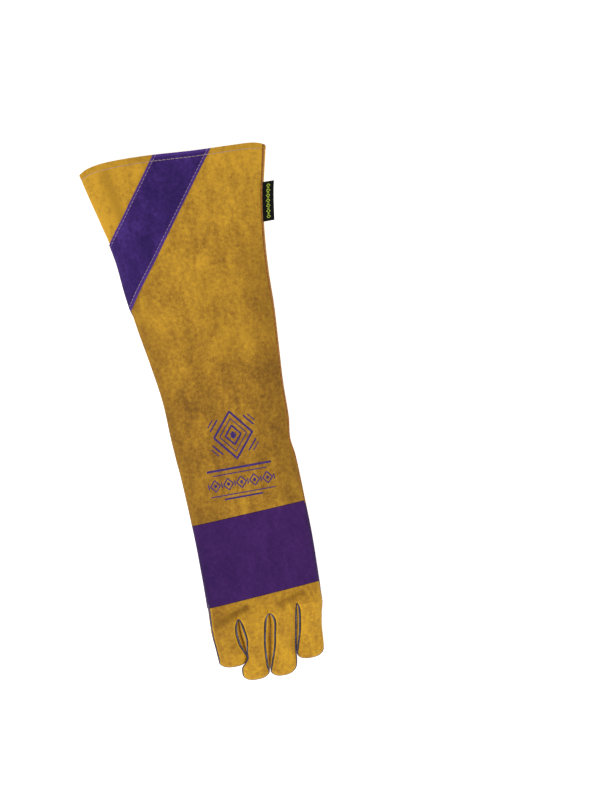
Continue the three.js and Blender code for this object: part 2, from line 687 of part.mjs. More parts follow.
// A welt: a strip that follows seam points, standing a little proud between the two edges that it joins.
function weltStrip(points, normals, depth = WELT_DEPTH, half = WELT / 2) {
  const last = points.length - 1;
  const frames = points.map((p, i) => {
    const along = vector(points[Math.min(i + 1, last)]).sub(vector(points[Math.max(i - 1, 0)])).normalize();
    const out = vector(normals[i]).normalize();
    const side = new THREE.Vector3().crossVectors(along, out).normalize();
    return { p: vector(p), out: new THREE.Vector3().crossVectors(side, along).normalize(), side };
  });
  return slab(last, 1, (i, j, layer) => {
    const { p, out, side } = frames[i];
    const taper = layer ? 0.8 : 1;
    return p
      .clone()
      .addScaledVector(out, layer ? -depth : WELT_PROUD)
      .addScaledVector(side, (j ? -1 : 1) * half * taper)
      .toArray();
  });
}

// The outward normal of the glove's surface, from neighbouring sections.
function normalAt(sectionAt, t, step, angleOf) {
  const angle = angleOf(sectionAt(t));
  const turn = 2 * DEG;
  const around = vector(loopPoint(sectionAt(t), angle + turn)).sub(vector(loopPoint(sectionAt(t), angle - turn)));
  const along = vector(loopPoint(sectionAt(t + step), angle)).sub(vector(loopPoint(sectionAt(t - step), angle)));
  return new THREE.Vector3().crossVectors(around, along).normalize().toArray();
}

// The welt of a side seam, from the hem to the finger crotches.
function sideWelt(side, finger) {
  const stations = trimmed([...SLEEVE_STATIONS, ...HAND_STATIONS.slice(1), ...WEB_STATIONS.slice(1)], 0, GAP);
  const angleOf = (section) => section[side];
  const root = fingerSection(finger, 0);
  const step = 0.01;
  const points = stations.map((station) => {
    const section = bodySection(station);
    return towardsFinger(station, loopPoint(section, angleOf(section)), loopPoint(root, angleOf(root)));
  });
  const normals = stations.map((s) => normalAt(bodySection, clamp(s, step, 3 - step), step, angleOf));
  return weltStrip(points, normals);
}

// The welt round one finger, down one side, round the tip and up the other.
function fingerWelt(finger) {
  const reach = finger.reach * FINGER_LENGTH;
  const stops = (line) => [...(isOuter(line) ? [2 * GAP / reach] : []), ...FINGER_STOPS.slice(1, -1)];
  const step = 0.004;
  const seam = (side) => (along) => {
    const section = fingerSection(finger, along);
    const angleOf = (s) => s[side];
    return {
      point: loopPoint(section, section[side]),
      normal: normalAt((t) => fingerSection(finger, t), clamp(along, step, 1 - step), step, angleOf),
    };
  };
  const tip = { point: loopPoint(fingerSection(finger, 1), 0), normal: [0, -1, 0] };
  const path = [
    ...stops(finger.left).map(seam("leftSeam")),
    tip,
    ...stops(finger.right).map(seam("rightSeam")).reverse(),
  ];
  return weltStrip(
    path.map((s) => s.point),
    path.map((s) => s.normal),
  );
}

// A welt that runs round the palm side of a cross-section, in the gap between two panels.
function crossWelt(station, fromAngle, toAngle, count) {
  const section = bodySection(station);
  const angles = evenAngles(section, fromAngle, toAngle, count);
  return slab(count, 1, (i, j, layer) => {
    const p = loopPoint(section, angles[i], layer ? WELT_DEPTH : -WELT_PROUD);
    return [p[0], p[1] + (j ? 1 : -1) * (WELT / 2), Math.max(p[2], 0)];
  });
}

function wristWelt() {
  const section = bodySection(1);
  const [from, to] = underEdges(section, SEAM_HALF + WELT);
  return crossWelt(1, from, to, 16);
}

function fingerBaseWelt() {
  const section = bodySection(3);
  const lines = rowAt(FINGER_LINES, "along", 0);
  const angleFor = (share) => -angleAcross(section, HAND_SHIFT + share * HAND_WIDTH, -1);
  return crossWelt(3, angleFor(lines.middleIndex), angleFor(lines.littleRing), 8);
}

// The angle of a cross-section, between 0 and 180 degrees, where its surface lies at x. side is 1 for the back.
function angleAcross(section, x, side) {
  const across = clamp((x - section.centre) / section.halfWidth, -1, 1);
  return Math.acos(power(across, (side > 0 ? section.backRound[1] : section.underRound) / 2));
}

// An upright block over an outline in plan.
function uprightBlock(points) {
  const outline = new THREE.Shape(points.map(([x, y]) => new THREE.Vector2(x, y)));
  const block = new THREE.ExtrudeGeometry(outline, { depth: 2 * HEM_HEIGHT, bevelEnabled: false });
  return toSolid(block.translate(0, 0, -HEM_HEIGHT / 2));
}

// The purple stripe, from the hem down to the little-finger side of the sleeve, sewn into the side seam.
function stripe() {
  const along = [-Math.sin(STRIPE_ANGLE * DEG), -Math.cos(STRIPE_ANGLE * DEG)];
  const hemSpan = STRIPE_WIDTH / Math.cos(STRIPE_ANGLE * DEG);
  const corner = (x, distance) => [x + along[0] * distance, HEM_Y + along[1] * distance];
  const outline = [
    corner(STRIPE_CORNER - hemSpan, -SLEEVE_LENGTH / 10),
    corner(STRIPE_CORNER - hemSpan, SLEEVE_LENGTH / 2),
    corner(STRIPE_CORNER, SLEEVE_LENGTH / 2),
    corner(STRIPE_CORNER, -SLEEVE_LENGTH / 10),
  ];
  return toGeometry(toSolid(sleeveBack(-GAP - PATCH, -GAP)).intersect(uprightBlock(outline)));
}

// The D-shaped patch on the sleeve's palm side, against the wrist seam.
function wristPatch() {
  const centre = HAND_SHIFT + WRIST_PATCH_SHIFT;
  const curve = between(-1, 1, 16).map((t) => {
    const turn = (t * Math.PI) / 2;
    const across = (Math.sign(turn) * Math.pow(Math.abs(Math.sin(turn)), 2 / 2.4) * WRIST_PATCH_WIDTH) / 2;
    return [centre + across, WRIST_Y + WRIST_PATCH_LENGTH * Math.pow(Math.abs(Math.cos(turn)), 2 / 2.4)];
  });
  const outline = [[curve[0][0], WRIST_Y - HAND_WIDTH / 4], ...curve, [curve[16][0], WRIST_Y - HAND_WIDTH / 4]];
  return toGeometry(toSolid(sleeveFront(-GAP - PATCH, -GAP)).intersect(uprightBlock(outline.reverse())));
}

// A cross-section ring of the thumb: grow makes it larger, or smaller if negative.
function thumbRing(along, grow, count) {
  const at = rowAt(THUMB_ROWS, "along", along);
  const ahead = rowAt(THUMB_ROWS, "along", Math.min(along + 0.02, 1));
  const behind = rowAt(THUMB_ROWS, "along", Math.max(along - 0.02, 0));
  const heading = new THREE.Vector2(ahead.x - behind.x, ahead.y - behind.y).normalize();
  const tip = clamp(1 - ((1 - along) * THUMB_LENGTH) / TIP_ROUND, 0, 0.985);
  const shrink = Math.pow(1 - Math.pow(tip, TIP_SHAPE), 1 / TIP_SHAPE);
  const reach = (tip - (along === 0 ? 1 : 0)) * grow;
  const halfWidth = ((at.width * THUMB_WIDTH) / 2 + grow) * shrink;
  const halfHeight = ((at.height * THUMB_HEIGHT) / 2 + grow) * shrink;
  const x = HAND_SHIFT + at.x * THUMB_LENGTH + reach * heading.x;
  const y = WRIST_Y + at.y * THUMB_LENGTH + reach * heading.y;
  return range(count).map((k) => {
    const angle = (2 * Math.PI * k) / count;
    const across = halfWidth * power(Math.cos(angle), 2 / FINGER_ROUND);
    const z = (Math.max(at.lift, 0) + at.height / 2) * THUMB_HEIGHT + halfHeight * power(Math.sin(angle), 2 / FINGER_ROUND);
    return [x - across * heading.y, y + across * heading.x, z];
  });
}

function thumbBody(grow) {
  const stops = [0, 0.12, 0.24, 0.36, 0.5, 0.64, 0.78, 0.88, 0.93, 0.97, 1];
  return toSolid(loft(stops.map((stop) => thumbRing(stop, grow, 16))));
}

// The hand's outer form as a block, with room round it, to cut the thumb's root to the palm.
function handBlock(room) {
  const angles = between(0, 2 * Math.PI, 32).slice(0, 32);
  const rings = [0.7, 0.85, 1, 1.2, 1.4, 1.7, 2, 2.5].map((station) => {
    const section = bodySection(station);
    return angles.map((angle) => loopPoint(section, angle, -room));
  });
  return toSolid(loft(rings));
}


const thumbOuter = thumbBody(0);
const thumbHollow = thumbBody(-WALL);

// The palm patch, from the wrist seam to the knuckle line, with the thenar area cut out of it.
function palmPatch() {
  const thenar = THENAR.map((p) => [HAND_SHIFT + p.x * HAND_WIDTH, WRIST_Y + p.y * HAND_WIDTH]);
  const top = KNUCKLE_Y + GAP;
  const beyond = [
    [-HEM_WIDTH, top],
    [-HEM_WIDTH, top - HAND_WIDTH],
    [HEM_WIDTH, top - HAND_WIDTH],
    [HEM_WIDTH, top],
  ];
  const sheet = toSolid(palmSheet(-GAP - PATCH, -GAP));
  const trimmedSheet = sheet.subtract(uprightBlock(thenar.reverse())).subtract(uprightBlock(beyond));
  return toGeometry(trimmedSheet.subtract(thumbBody(2 * GAP)));
}

function thumb() {
  return toGeometry(thumbOuter.subtract(thumbHollow).subtract(handBlock(GAP)));
}

function palm() {
  return toGeometry(toSolid(palmSheet()).subtract(thumbHollow));
}

// The woven label in the thumb-side seam, near the hem.
function label() {
  const from = stationBeside(0, LABEL_FROM_HEM);
  const to = stationBeside(0, LABEL_FROM_HEM + LABEL_LENGTH);
  return slab(4, 2, (i, j, layer) => {
    const section = bodySection(mix(from, to, i / 4));
    const p = loopPoint(section, section.rightSeam, -WELT_PROUD - 3 * GAP);
    const droop = 0.6 * Math.pow(j / 2, 2);
    return [p[0] + (j / 2) * LABEL_REACH, p[1], p[2] + (0.5 - layer) * LABEL_THICKNESS - droop];
  });
}

function piece(name, geometry, color, roughness) {
  const mesh = new THREE.Mesh(geometry, new THREE.MeshStandardMaterial({ color, roughness, metalness: 0 }));
  mesh.name = name;
  return mesh;
}

const gauntlet = new THREE.Group();
gauntlet.add(
  piece("sleeve_back", sleeveBack(), SUEDE, 0.95),
  piece("sleeve_front", sleeveFront(), SUEDE, 0.95),
  piece("thumb_side_welt", sideWelt("rightSeam", FINGERS[FINGERS.length - 1]), SLATE, 0.8),
  piece("little_side_welt", sideWelt("leftSeam", FINGERS[0]), SLATE, 0.8),
  piece("back_band", backBand(), PURPLE, 0.9),
  piece("finger_backs", fingerBacks(), SUEDE, 0.95),
  piece("palm", palm(), SUEDE, 0.95),
  piece("palm_patch", palmPatch(), PURPLE, 0.9),
  piece("thumb", thumb(), SUEDE, 0.95),
  piece("wrist_welt", wristWelt(), PURPLE, 0.8),
  piece("wrist_patch", wristPatch(), PURPLE, 0.9),
  piece("finger_base_welt", fingerBaseWelt(), PURPLE, 0.8),
  piece("stripe", stripe(), PURPLE, 0.9),
  piece("side_label", label(), 0x101010, 0.6),
);
for (const finger of FINGERS) {
  gauntlet.add(
    piece(`${finger.name}_finger_front`, fingerFront(finger), SUEDE, 0.95),
    piece(`${finger.name}_finger_welt`, fingerWelt(finger), SLATE, 0.8),
  );
}

// The origin is the middle of the surface that the gauntlet lies on, under the centre of its box.
const box = new THREE.Box3().setFromObject(gauntlet);
const centre = box.getCenter(new THREE.Vector3());
gauntlet.position.set(-centre.x, -centre.y, -box.min.z);

export default gauntlet;
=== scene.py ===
"""Looks for a long suede work gauntlet that lies palm down on a pale floor.

Each CAD shell is replaced by a fine shell on the same cross-sections, with rolled seam edges, soft relief,
welts, stitches and napped suede. Sizes are in millimetres, angles in degrees; meshes are written in metres.
"""

import math

import bmesh
import bpy
import numpy as np
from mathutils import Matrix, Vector, noise


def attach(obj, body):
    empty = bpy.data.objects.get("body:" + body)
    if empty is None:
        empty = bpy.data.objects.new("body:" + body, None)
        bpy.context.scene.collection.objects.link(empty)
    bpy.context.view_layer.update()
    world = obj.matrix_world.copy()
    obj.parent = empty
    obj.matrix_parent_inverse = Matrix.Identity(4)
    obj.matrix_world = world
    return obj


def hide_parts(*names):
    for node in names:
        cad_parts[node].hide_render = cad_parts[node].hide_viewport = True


MM = 0.001
DEG = math.pi / 180

# The glove's sizes. The stripe, label, side welts and finger gap differ a little from the part's
SLEEVE_LENGTH = 421
BAND_LENGTH = 94
WEB_LENGTH = 22.5
FINGER_LENGTH = 73
HEM_WIDTH = 216
HEM_HEIGHT = 48
HAND_WIDTH = 130
HAND_HEIGHT = 34
HAND_SHIFT = 15
FINGER_HEIGHT = 25
REST_FLATTENING = 3
WALL = 2
PATCH = 1.3
WELT = 1.5
SIDE_WELT = 2.2
GAP = 0.3
SEAM_HALF = 1.2
FINGER_GAP = 0.03
THUMB_LENGTH = 128
THUMB_WIDTH = 32
THUMB_HEIGHT = 20
TIP_ROUND = 12.5
STRIPE_WIDTH = 55
STRIPE_ANGLE = 36.3
STRIPE_CORNER = 49
WRIST_PATCH_WIDTH = 93.5
WRIST_PATCH_LENGTH = 71
WRIST_PATCH_SHIFT = -6.5
LABEL_LENGTH = 47
LABEL_REACH = 13
LABEL_FROM_HEM = 50.5
HEM_FADE = 0.22
HEM_STITCH = 7.5
HEM_ROWS = (5.4, 6.4, 7.0, 7.5, 8.0, 8.6, 9.6)

LENGTH = SLEEVE_LENGTH + BAND_LENGTH + WEB_LENGTH + FINGER_LENGTH
HEM_Y = LENGTH / 2
WRIST_Y = HEM_Y - SLEEVE_LENGTH
KNUCKLE_Y = WRIST_Y - BAND_LENGTH
CROTCH_Y = KNUCKLE_Y - WEB_LENGTH
HAND_LIFT = THUMB_HEIGHT + PATCH + 3 * GAP
ORIGIN = (-0.761, 0.216, 0)  # how far the part's own origin lies from the glove's

BACK_ROUND = 2.3
UNDER_ROUND = 3.2
FINGER_ROUND = 2.35
CROTCH_ROUND = 4.5
INNER_SEAM_START = 20
TIP_SHAPE = 2.5

# The finer forms that only the fine shells have
RIM_STEPS = (0.0, 0.2, 0.55, 1.0, 1.6, 2.6)
ROLL = 1.5
END_ROLL = 0.8
SEAM_SLIT = 0.12
THIN_EDGE = 0.5
# The leather's relief: its wavelengths along the three axes, its shift and its height
RELIEF = ((46, 62, 46, 0, 1.1), (15, 19, 15, 7, 0.35))
RELIEF_FADE = 14
FINGER_COLUMNS = 22
WELT_PROUD = 0.7
WELT_DEPTH = 1.2
# A side welt's foot inside the seam: shares of its half width, and heights
FLANGE = ((-2.9, -4.1), (-2.9, -3.5), (-1.0, -3.4))
HEM_TURN = 1.3
HEM_TURN_DEPTH = 13
HEM_TURN_ROWS = (12, 13, 14)
STRIPE_STITCH = 3.0
STRIPE_END = 0.47
PATCH_STITCH = 3.0
PATCH_ROLL = 1.0
PATCH_FADE = 9
STITCH_LENGTH = 4.4
STITCH_GAP = 0.35
STITCH_RADIUS = 0.3
THREAD_SUNK = 0.3
ON_FLOOR = 0.02
# The label's row of lozenges: how many, where the first is and their pitch, as shares of its length
LABEL_MARKS = 7
LABEL_START = 0.11
LABEL_PITCH = 0.13
PRINT_MIDDLE = (13, -25)
# The print's lozenges: half width, half height and line. Its bars: height, half length and line
LOZENGES = ((22, 27, 2.3), (15.5, 19, 1.1), (9, 11, 2.0), (2.2, 2.8, 3.4))
BARS = ((-37, 37, 2.4), (-42.5, 31, 1.1), (-66, 37, 1.1), (-70.5, 22, 1.9))
# The print's rays, one corner of four: both ends and line. The row of small lozenges: height and pitch
RAYS = ((15, 20, 25, 8, 1.7), (20, 21, 27, 12.5, 1.1))
SMALL_ROW = -54
SMALL_PITCH = 15
# Painted shade on the back of each finger, fading out past its middle, and over the web under the band
FINGER_SHADE = {"little": 0.36, "ring": 0.16, "middle": 0.12, "index": 0.02}
WEB_SHADE = 0.3
# The painted light beside the side seams: a highlight along the sleeve's open edge and shade at the sleeve's
# and band's sides, each a strength and a reach
OPEN_EDGE_HIGHLIGHT = (0.75, 22)
SLEEVE_SIDE_SHADE = (0.5, 60)
BAND_SIDE_SHADE = (0.7, 9)
# Painted shade along soft creases on the back of the hand: both ends, width and strength
SHADE_STREAKS = ((-44, -233, -10, -222, 7, 0.42), (31, -223, 57, -216, 6, 0.34))

# Each suede's name, four tones, the rim tone (wear and painted highlight) and the painted shade tone, the
# tones' spread, the nap and the lighter hem
SUEDES = (
    ("ochre_split", "7E5820 9C7024 B38529 CC9A2D E6A81E 6E4A18", 0.115, 1.0, 0.4),
    ("ochre_fingers", "8A6022 A97A27 C2912B DBA82C F0B830 684414", 0.125, 1.0, 0.0),
    ("purple_band", "2E164C 381A54 401F5C 4A2664 5A3A78 28123E", 0.13, 0.6, 0.0),
    ("purple_stripe", "281650 321D5A 3B2366 492F7A 6444A0 24104A", 0.11, 0.8, 0.0),
)
SIDE_WELT_TONES = (("7A4A18", "A66C22"), ("2A1440", "40225E"), ("3A3650", "605E70"))

# The photograph's frame, in the glove's own plan
FRAME_HEIGHT = 912
VIEW_MIDDLE = (94.8, 0.6)
VIEW_LEVEL = 25
VIEW_TURN = -10.2

# The thumb's ball in plan, as shares of HAND_WIDTH from the wrist
THENAR = (
    (0.2, 0.06),
    (0.17, -0.13),
    (0.125, -0.235),
    (0.15, -0.345),
    (0.275, -0.335),
    (0.38, -0.27),
    (0.56, -0.23),
    (0.56, 0.06),
)


def table(columns, *rows):
    """A table's columns by name, as arrays."""
    return dict(zip(columns.split(), np.array(rows, float).T))


# Cross-sections from the hem (0) over the wrist seam (1) and knuckles (2) to the crotches (3)
BODY = table(
    "station left right lift height slant thumb_seam little_seam",
    (0.0, 1.0, 1.0, 0.0, 1.0, 0.0, 12, 12),
    (0.08, 0.88, 0.77, 0.0, 0.96, 0.0, 12, 12),
    (0.16, 0.745, 0.53, 0.0, 0.9, 0.0, 12, 12),
    (0.26, 0.58, 0.325, 0.0, 0.82, 0.0, 12, 12),
    (0.36, 0.505, 0.214, 0.0, 0.76, 0.0, 12, 12),
    (0.46, 0.403, 0.182, 0.0, 0.68, 0.0, 12, 12),
    (0.56, 0.28, 0.09, 0.0, 0.58, 0.0, 12, 12),
    (0.665, 0.172, -0.01, 0.0, 0.48, 0.0, 12, 12),
    (0.765, 0.141, -0.036, 0.07, 0.4, 0.01, 11, 11),
    (0.822, 0.11, -0.13, 0.21, 0.34, 0.02, 10, 9),
    (0.87, 0.074, -0.05, 0.3, 0.3, 0.032, 8, 7),
    (1.0, 0.02, 0.0, 0.6, 0.2, 0.05, 3, 2),
    (1.4, 0.0, 0.03, 1.0, 0.05, 0.058, 3, -1),
    (2.0, 0.009, -0.01, 0.97, 0.0, 0.07, -1, -12),
    (3.0, 0.026, -0.036, 0.8, -0.1, 0.08, -3, -14),
)
THREAD = table(
    "along fat rise",
    (-0.5, 0.45, -0.75),
    (-0.42, 0.85, -0.1),
    (-0.2, 1.0, 0.3),
    (0.2, 1.0, 0.3),
    (0.42, 0.85, -0.1),
    (0.5, 0.45, -0.75),
)
HEM_EDGE = table(
    "across drop",
    (-1.0, 0.037),
    (-0.9, 0.014),
    (-0.7, 0.0),
    (-0.3, 0.002),
    (0.25, 0.02),
    (0.68, 0.027),
    (0.86, 0.031),
    (0.96, 0.043),
    (1.0, 0.056),
)
FINGER_LINES = table(
    "along little little_ring ring_left ring_middle middle_index index",
    (0.0, -0.514, -0.254, -0.254, 0.02, 0.27, 0.494),
    (0.15, -0.511, -0.258, -0.258, 0.015, 0.25, 0.477),
    (0.35, -0.504, -0.249, -0.249, -0.008, 0.227, 0.455),
    (0.55, -0.499, -0.238, -0.238, -0.028, 0.203, 0.445),
    (0.64, -0.497, -0.236, -0.2415, -0.039, 0.195, 0.441),
    (0.7, -0.494, -0.236, -0.268, -0.046, 0.191, 0.438),
    (0.76, -0.49, -0.236, -0.3, -0.053, 0.187, 0.436),
    (0.85, -0.485, -0.236, -0.309, -0.062, 0.178, 0.43),
    (1.0, -0.477, -0.236, -0.312, -0.067, 0.16, 0.423),
)
FINGER_FALL = table(
    "along lift height",
    (0.0, 0.8, 1.0),
    (0.2, 0.62, 0.72),
    (0.45, 0.32, 0.38),
    (0.7, 0.07, 0.1),
    (0.85, -0.03, 0.0),
    (1.0, -0.03, 0.0),
)
THUMB = table(
    "along x y width lift height",
    (0.0, 0.35, -0.03, 1.2, 0.6, 0.9),
    (0.2, 0.31, -0.15, 1.3, 0.14, 1.15),
    (0.42, 0.19, -0.34, 1.0, 0.0, 1.02),
    (0.62, 0.08, -0.52, 0.92, 0.0, 1.0),
    (0.82, 0.005, -0.71, 1.02, 0.0, 1.0),
    (1.0, -0.03, -0.885, 1.06, 0.0, 0.98),
)
# Each finger's two lines, its length, how far its seams lie inside its sides, and how soon they open there
FINGERS = {
    "little": ("little", "little_ring", 0.735, 0.03, 0.18, 0.3, 0.32),
    "ring": ("ring_left", "ring_middle", 0.992, 0.18, 0.24, 0.3, 0.22),
    "middle": ("ring_middle", "middle_index", 1.0, 0.21, 0.03, 0.22, 0.25),
    "index": ("middle_index", "index", 0.805, 0.14, 0.0, 0.25, 0.3),
}
# In degrees up from the side, where the outer seams begin and how far they turn, and each crotch's shape
OUTER_SEAM_START = {"little": 30, "index": -5}
OUTER_SEAM_TURN = {"little": -8, "index": -20}
CROTCH_SHAPE = {"little_ring": 0.3, "ring_left": 0.3, "ring_middle": 0.22, "middle_index": 0.2}
# How each seam moves back to the side of its finger: where it begins, over what share of it, and how far
SEAM_CLOSING = {"little_ring": (0.47, 0.4, 0.85), "ring_left": (0.3, 0.28, 0.9)}
# How far two crotches reach up into the back of the hand, and where
CROTCH_RISE = ((50, 3.4), (-18, 3.0))
CROTCH_RISE_WIDTH = 9
# Soft valleys: side, both ends as shares across and stations, half width and depth as shares of HAND_HEIGHT
VALLEYS = (
    (1, -0.74, 0.03, -0.72, 0.2, 0.36, 0.1),
    (1, 0.1, 0.36, 0.3, 0.62, 0.8, 0.05),
    (1, -0.3, 0.5, -0.1, 0.8, 0.6, 0.05),
    (1, 1.0, 0.8, 0.45, 0.86, 0.4, 0.1),
    (1, -0.92, 2.97, -0.32, 2.44, 0.16, 0.08),
    (1, 0.27, 2.7, 0.68, 2.38, 0.18, 0.055),
    (-1, 0.5, 1.85, 0.95, 1.7, 0.16, 0.08),
)


def smooth(t):
    c = np.clip(t, 0, 1)
    return c * c * (3 - 2 * c)


def mix(a, b, t):
    return a + (b - a) * t


def power(value, exponent):
    return np.sign(value) * np.abs(value) ** exponent


def unit(vectors):
    return vectors / np.linalg.norm(vectors, axis=1, keepdims=True)


def tip_rounding(along, reach):
    """How far round its tip places along a finger are, and how much narrower it is there."""
    tip = np.clip(1 - (1 - along) * reach / TIP_ROUND, 0, 1)
    return tip, (1 - tip**TIP_SHAPE) ** (1 / TIP_SHAPE)


def tip_stops(reach):
    """Places along a finger that lie evenly round its tip."""
    turn = np.linspace(0, math.pi / 2, 22)[1:]
    return 1 - (1 - np.sin(turn) ** (2 / TIP_SHAPE)) * TIP_ROUND / reach


def row_at(rows, key, at, places=None):
    """Every column of a table at some values of its first, on a smooth curve through the rows."""
    x = rows[key] if places is None else places
    at = np.clip(at, x[0], x[-1])
    last = len(x) - 1
    k = np.clip(np.searchsorted(x, at, side="left") - 1, 0, last - 1)
    before, after = np.maximum(k - 1, 0), np.minimum(k + 2, last)
    span = x[k + 1] - x[k]
    s = (at - x[k]) / span
    found = {}
    for name, v in rows.items():
        slope_a = (v[k + 1] - v[before]) / (x[k + 1] - x[before]) * span
        slope_b = (v[after] - v[k]) / (x[after] - x[k]) * span
        found[name] = (
            (2 * s**3 - 3 * s**2 + 1) * v[k]
            + (s**3 - 2 * s**2 + s) * slope_a
            + (3 * s**2 - 2 * s**3) * v[k + 1]
            + (s**3 - s**2) * slope_b
        )
    return found


def station_y(station):
    return np.interp(station, (0, 1, 2, 3), (HEM_Y, WRIST_Y, KNUCKLE_Y, CROTCH_Y))


def web_share(y):
    """How far down places lie from the knuckle line (0) to the crotches (1)."""
    return np.clip((KNUCKLE_Y - y) / WEB_LENGTH, 0, 1)


def station_at(y):
    return np.interp(-np.asarray(y, float), (-HEM_Y, -WRIST_Y, -KNUCKLE_Y, -CROTCH_Y), (0, 1, 2, 3))


def body_section(station):
    """Cross-sections of the sleeve or hand, as columns that broadcast over angles."""
    station = np.atleast_1d(np.asarray(station, float))[:, None]
    y = station_y(station)
    row = row_at(BODY, "station", -y, -station_y(BODY["station"]))
    left = mix(HAND_SHIFT - HAND_WIDTH / 2, -HEM_WIDTH / 2, row["left"])
    right = mix(HAND_SHIFT + HAND_WIDTH / 2, HEM_WIDTH / 2, row["right"])
    lift = np.maximum(0, row["lift"]) * HAND_LIFT
    bottom = lift - REST_FLATTENING * (1 - smooth(lift / (2 * REST_FLATTENING)))
    top = lift + mix(HAND_HEIGHT, HEM_HEIGHT, row["height"])
    floor = np.maximum(bottom, 0)
    one = np.ones_like(y)
    return {
        "y": y,
        "station": station,
        "slant": row["slant"],
        "centre": (left + right) / 2,
        "half": (right - left) / 2,
        "middle": (floor + top) / 2,
        "up": (top - floor) / 2,
        "down": (top + floor) / 2 - bottom,
        "shrink": one,
        "tip": 0 * one,
        "left_round": BACK_ROUND * one,
        "right_round": BACK_ROUND * one,
        "under_round": UNDER_ROUND * one,
        "hem": np.clip(1 - station / HEM_FADE, 0, 1) ** 2,
        "right_seam": row["thumb_seam"] * DEG,
        "left_seam": math.pi + row["little_seam"] * DEG,
    }


def finger_section(finger, along):
    """Cross-sections of a finger, from its crotch (0) to its tip (1)."""
    left_line, right_line, reach, left_in, right_in, left_open, right_open = FINGERS[finger]
    along = np.atleast_1d(np.asarray(along, float))[:, None]
    reach = reach * FINGER_LENGTH
    lines = row_at(FINGER_LINES, "along", along * reach / FINGER_LENGTH)
    fall = row_at(FINGER_FALL, "along", along)
    outer = ("little", "index")
    left = HAND_SHIFT + lines[left_line] * HAND_WIDTH + (0 if left_line in outer else FINGER_GAP / 2)
    right = HAND_SHIFT + lines[right_line] * HAND_WIDTH - (0 if right_line in outer else FINGER_GAP / 2)
    crotch = body_section(3)
    tip, shrink = tip_rounding(along, reach)
    height = mix(FINGER_HEIGHT, crotch["up"] * 2, fall["height"])
    half = (right - left) / 2
    rooted = smooth(along / 0.34)

    def rounding(line):
        return mix(FINGER_ROUND if line in outer else CROTCH_ROUND, FINGER_ROUND, rooted)

    def seam(line, share, opening):
        begin, over, most = SEAM_CLOSING.get(line, (0.45, 0.5, 0.72))
        closing = 1 - most * smooth((along - begin) / over)
        opened = smooth(along / opening) ** CROTCH_SHAPE.get(line, 1) * closing
        inset = np.clip(share * FINGER_HEIGHT * opened / half, 0, 0.6)
        if line in outer:
            start = OUTER_SEAM_START[line] + OUTER_SEAM_TURN[line] * smooth(along / 0.3)
        else:
            start = mix(INNER_SEAM_START, 0, rooted)
        level = 1 - smooth(tip / 0.85)
        if not share:
            return start * DEG * level
        return np.maximum(start * DEG, np.arccos((1 - inset) ** (rounding(line) / 2))) * level

    return {
        "y": CROTCH_Y - along * reach,
        "station": 3 + along,
        "slant": crotch["slant"] * (1 - along),
        "centre": (left + right) / 2,
        "half": half,
        "middle": fall["lift"] * HAND_LIFT + height / 2,
        "up": height / 2,
        "down": height / 2,
        "shrink": shrink,
        "tip": tip,
        "left_round": rounding(left_line),
        "right_round": rounding(right_line),
        "under_round": FINGER_ROUND * np.ones_like(along),
        "hem": 0 * along,
        "right_seam": seam(right_line, right_in, right_open),
        "left_seam": math.pi - seam(left_line, left_in, left_open),
    }


def across_at(section, x):
    return np.clip((x - section["centre"]) / section["half"], -1, 1)


def hem_drop(section, x):
    """How far the hem's uneven edge lies in from its end."""
    return row_at(HEM_EDGE, "across", across_at(section, x))["drop"] * HEM_WIDTH * section["hem"]


def valleys(section, x, back):
    """How deep the leather is pressed in at places of the sleeve or hand."""
    depth = np.zeros(np.broadcast(x, section["y"]).shape)
    for side, from_across, from_station, to_across, to_station, half_width, deep in VALLEYS:
        ends = []
        for across, station in ((from_across, from_station), (to_across, to_station)):
            s = body_section(station)
            ends.append(np.array([(s["centre"] + across * s["half"])[0, 0], s["y"][0, 0]]))
        d = ends[1] - ends[0]
        t = np.clip(((x - ends[0][0]) * d[0] + (section["y"] - ends[0][1]) * d[1]) / (d @ d), 0, 1)
        away = np.hypot(x - ends[0][0] - t * d[0], section["y"] - ends[0][1] - t * d[1])
        pressed = deep * HAND_HEIGHT * (1 - smooth(away / (half_width * HAND_HEIGHT)))
        depth += np.where(back if side > 0 else ~back, pressed, 0)
    return depth


def loop_point(section, angle, depth=0.0):
    """Points of cross-sections at angles, at depths inside the outer surface."""
    c, s = np.cos(angle), np.sin(angle)
    back = s >= 0
    back_round = np.where(c >= 0, section["right_round"], section["left_round"])
    exponent = 2 / np.where(back, back_round, section["under_round"])
    x = section["centre"] + section["shrink"] * (section["half"] - depth) * power(c, exponent)
    on_body = section["station"] < 3
    pressed = np.where(on_body, valleys(section, x, back) * np.abs(s), 0)
    half = section["shrink"] * (np.where(back, section["up"], section["down"]) - depth)
    z = section["middle"] + half * power(s, exponent) - np.sign(s) * pressed
    slanted = section["slant"] * (x - HAND_SHIFT)
    y = section["y"] - hem_drop(section, x) + slanted + section["tip"] ** 2 * depth
    if np.all(section["station"] >= 3):
        near_crotch = (1 - smooth((section["station"] - 3) / 0.3)) * smooth(2 * s + 0.5)
        for at, rise in CROTCH_RISE:
            y = y + rise * np.exp(-(((x - at) / CROTCH_RISE_WIDTH) ** 2)) * near_crotch
    z = np.maximum(np.maximum(z, depth), 0)
    return np.stack(np.broadcast_arrays(x, y, z), -1)


def angle_beside(section, angle, distance, sign):
    """The angles whose chord from other angles is a given distance."""
    start = loop_point(section, angle)
    low, high = np.zeros_like(angle), np.full_like(angle, 80 * DEG)
    for _ in range(26):
        guess = (low + high) / 2
        p = loop_point(section, angle + sign * guess)
        near = np.hypot(p[..., 0] - start[..., 0], p[..., 2] - start[..., 2]) < distance
        low, high = np.where(near, guess, low), np.where(near, high, guess)
    return angle + sign * low


def back_edges(section, clearance=SEAM_HALF):
    """The angles at which a back panel begins and ends beside its seams."""
    room = clearance * (1 - section["tip"] ** 2)
    return (
        angle_beside(section, section["left_seam"], room, -1),
        angle_beside(section, section["right_seam"], room, 1),
    )


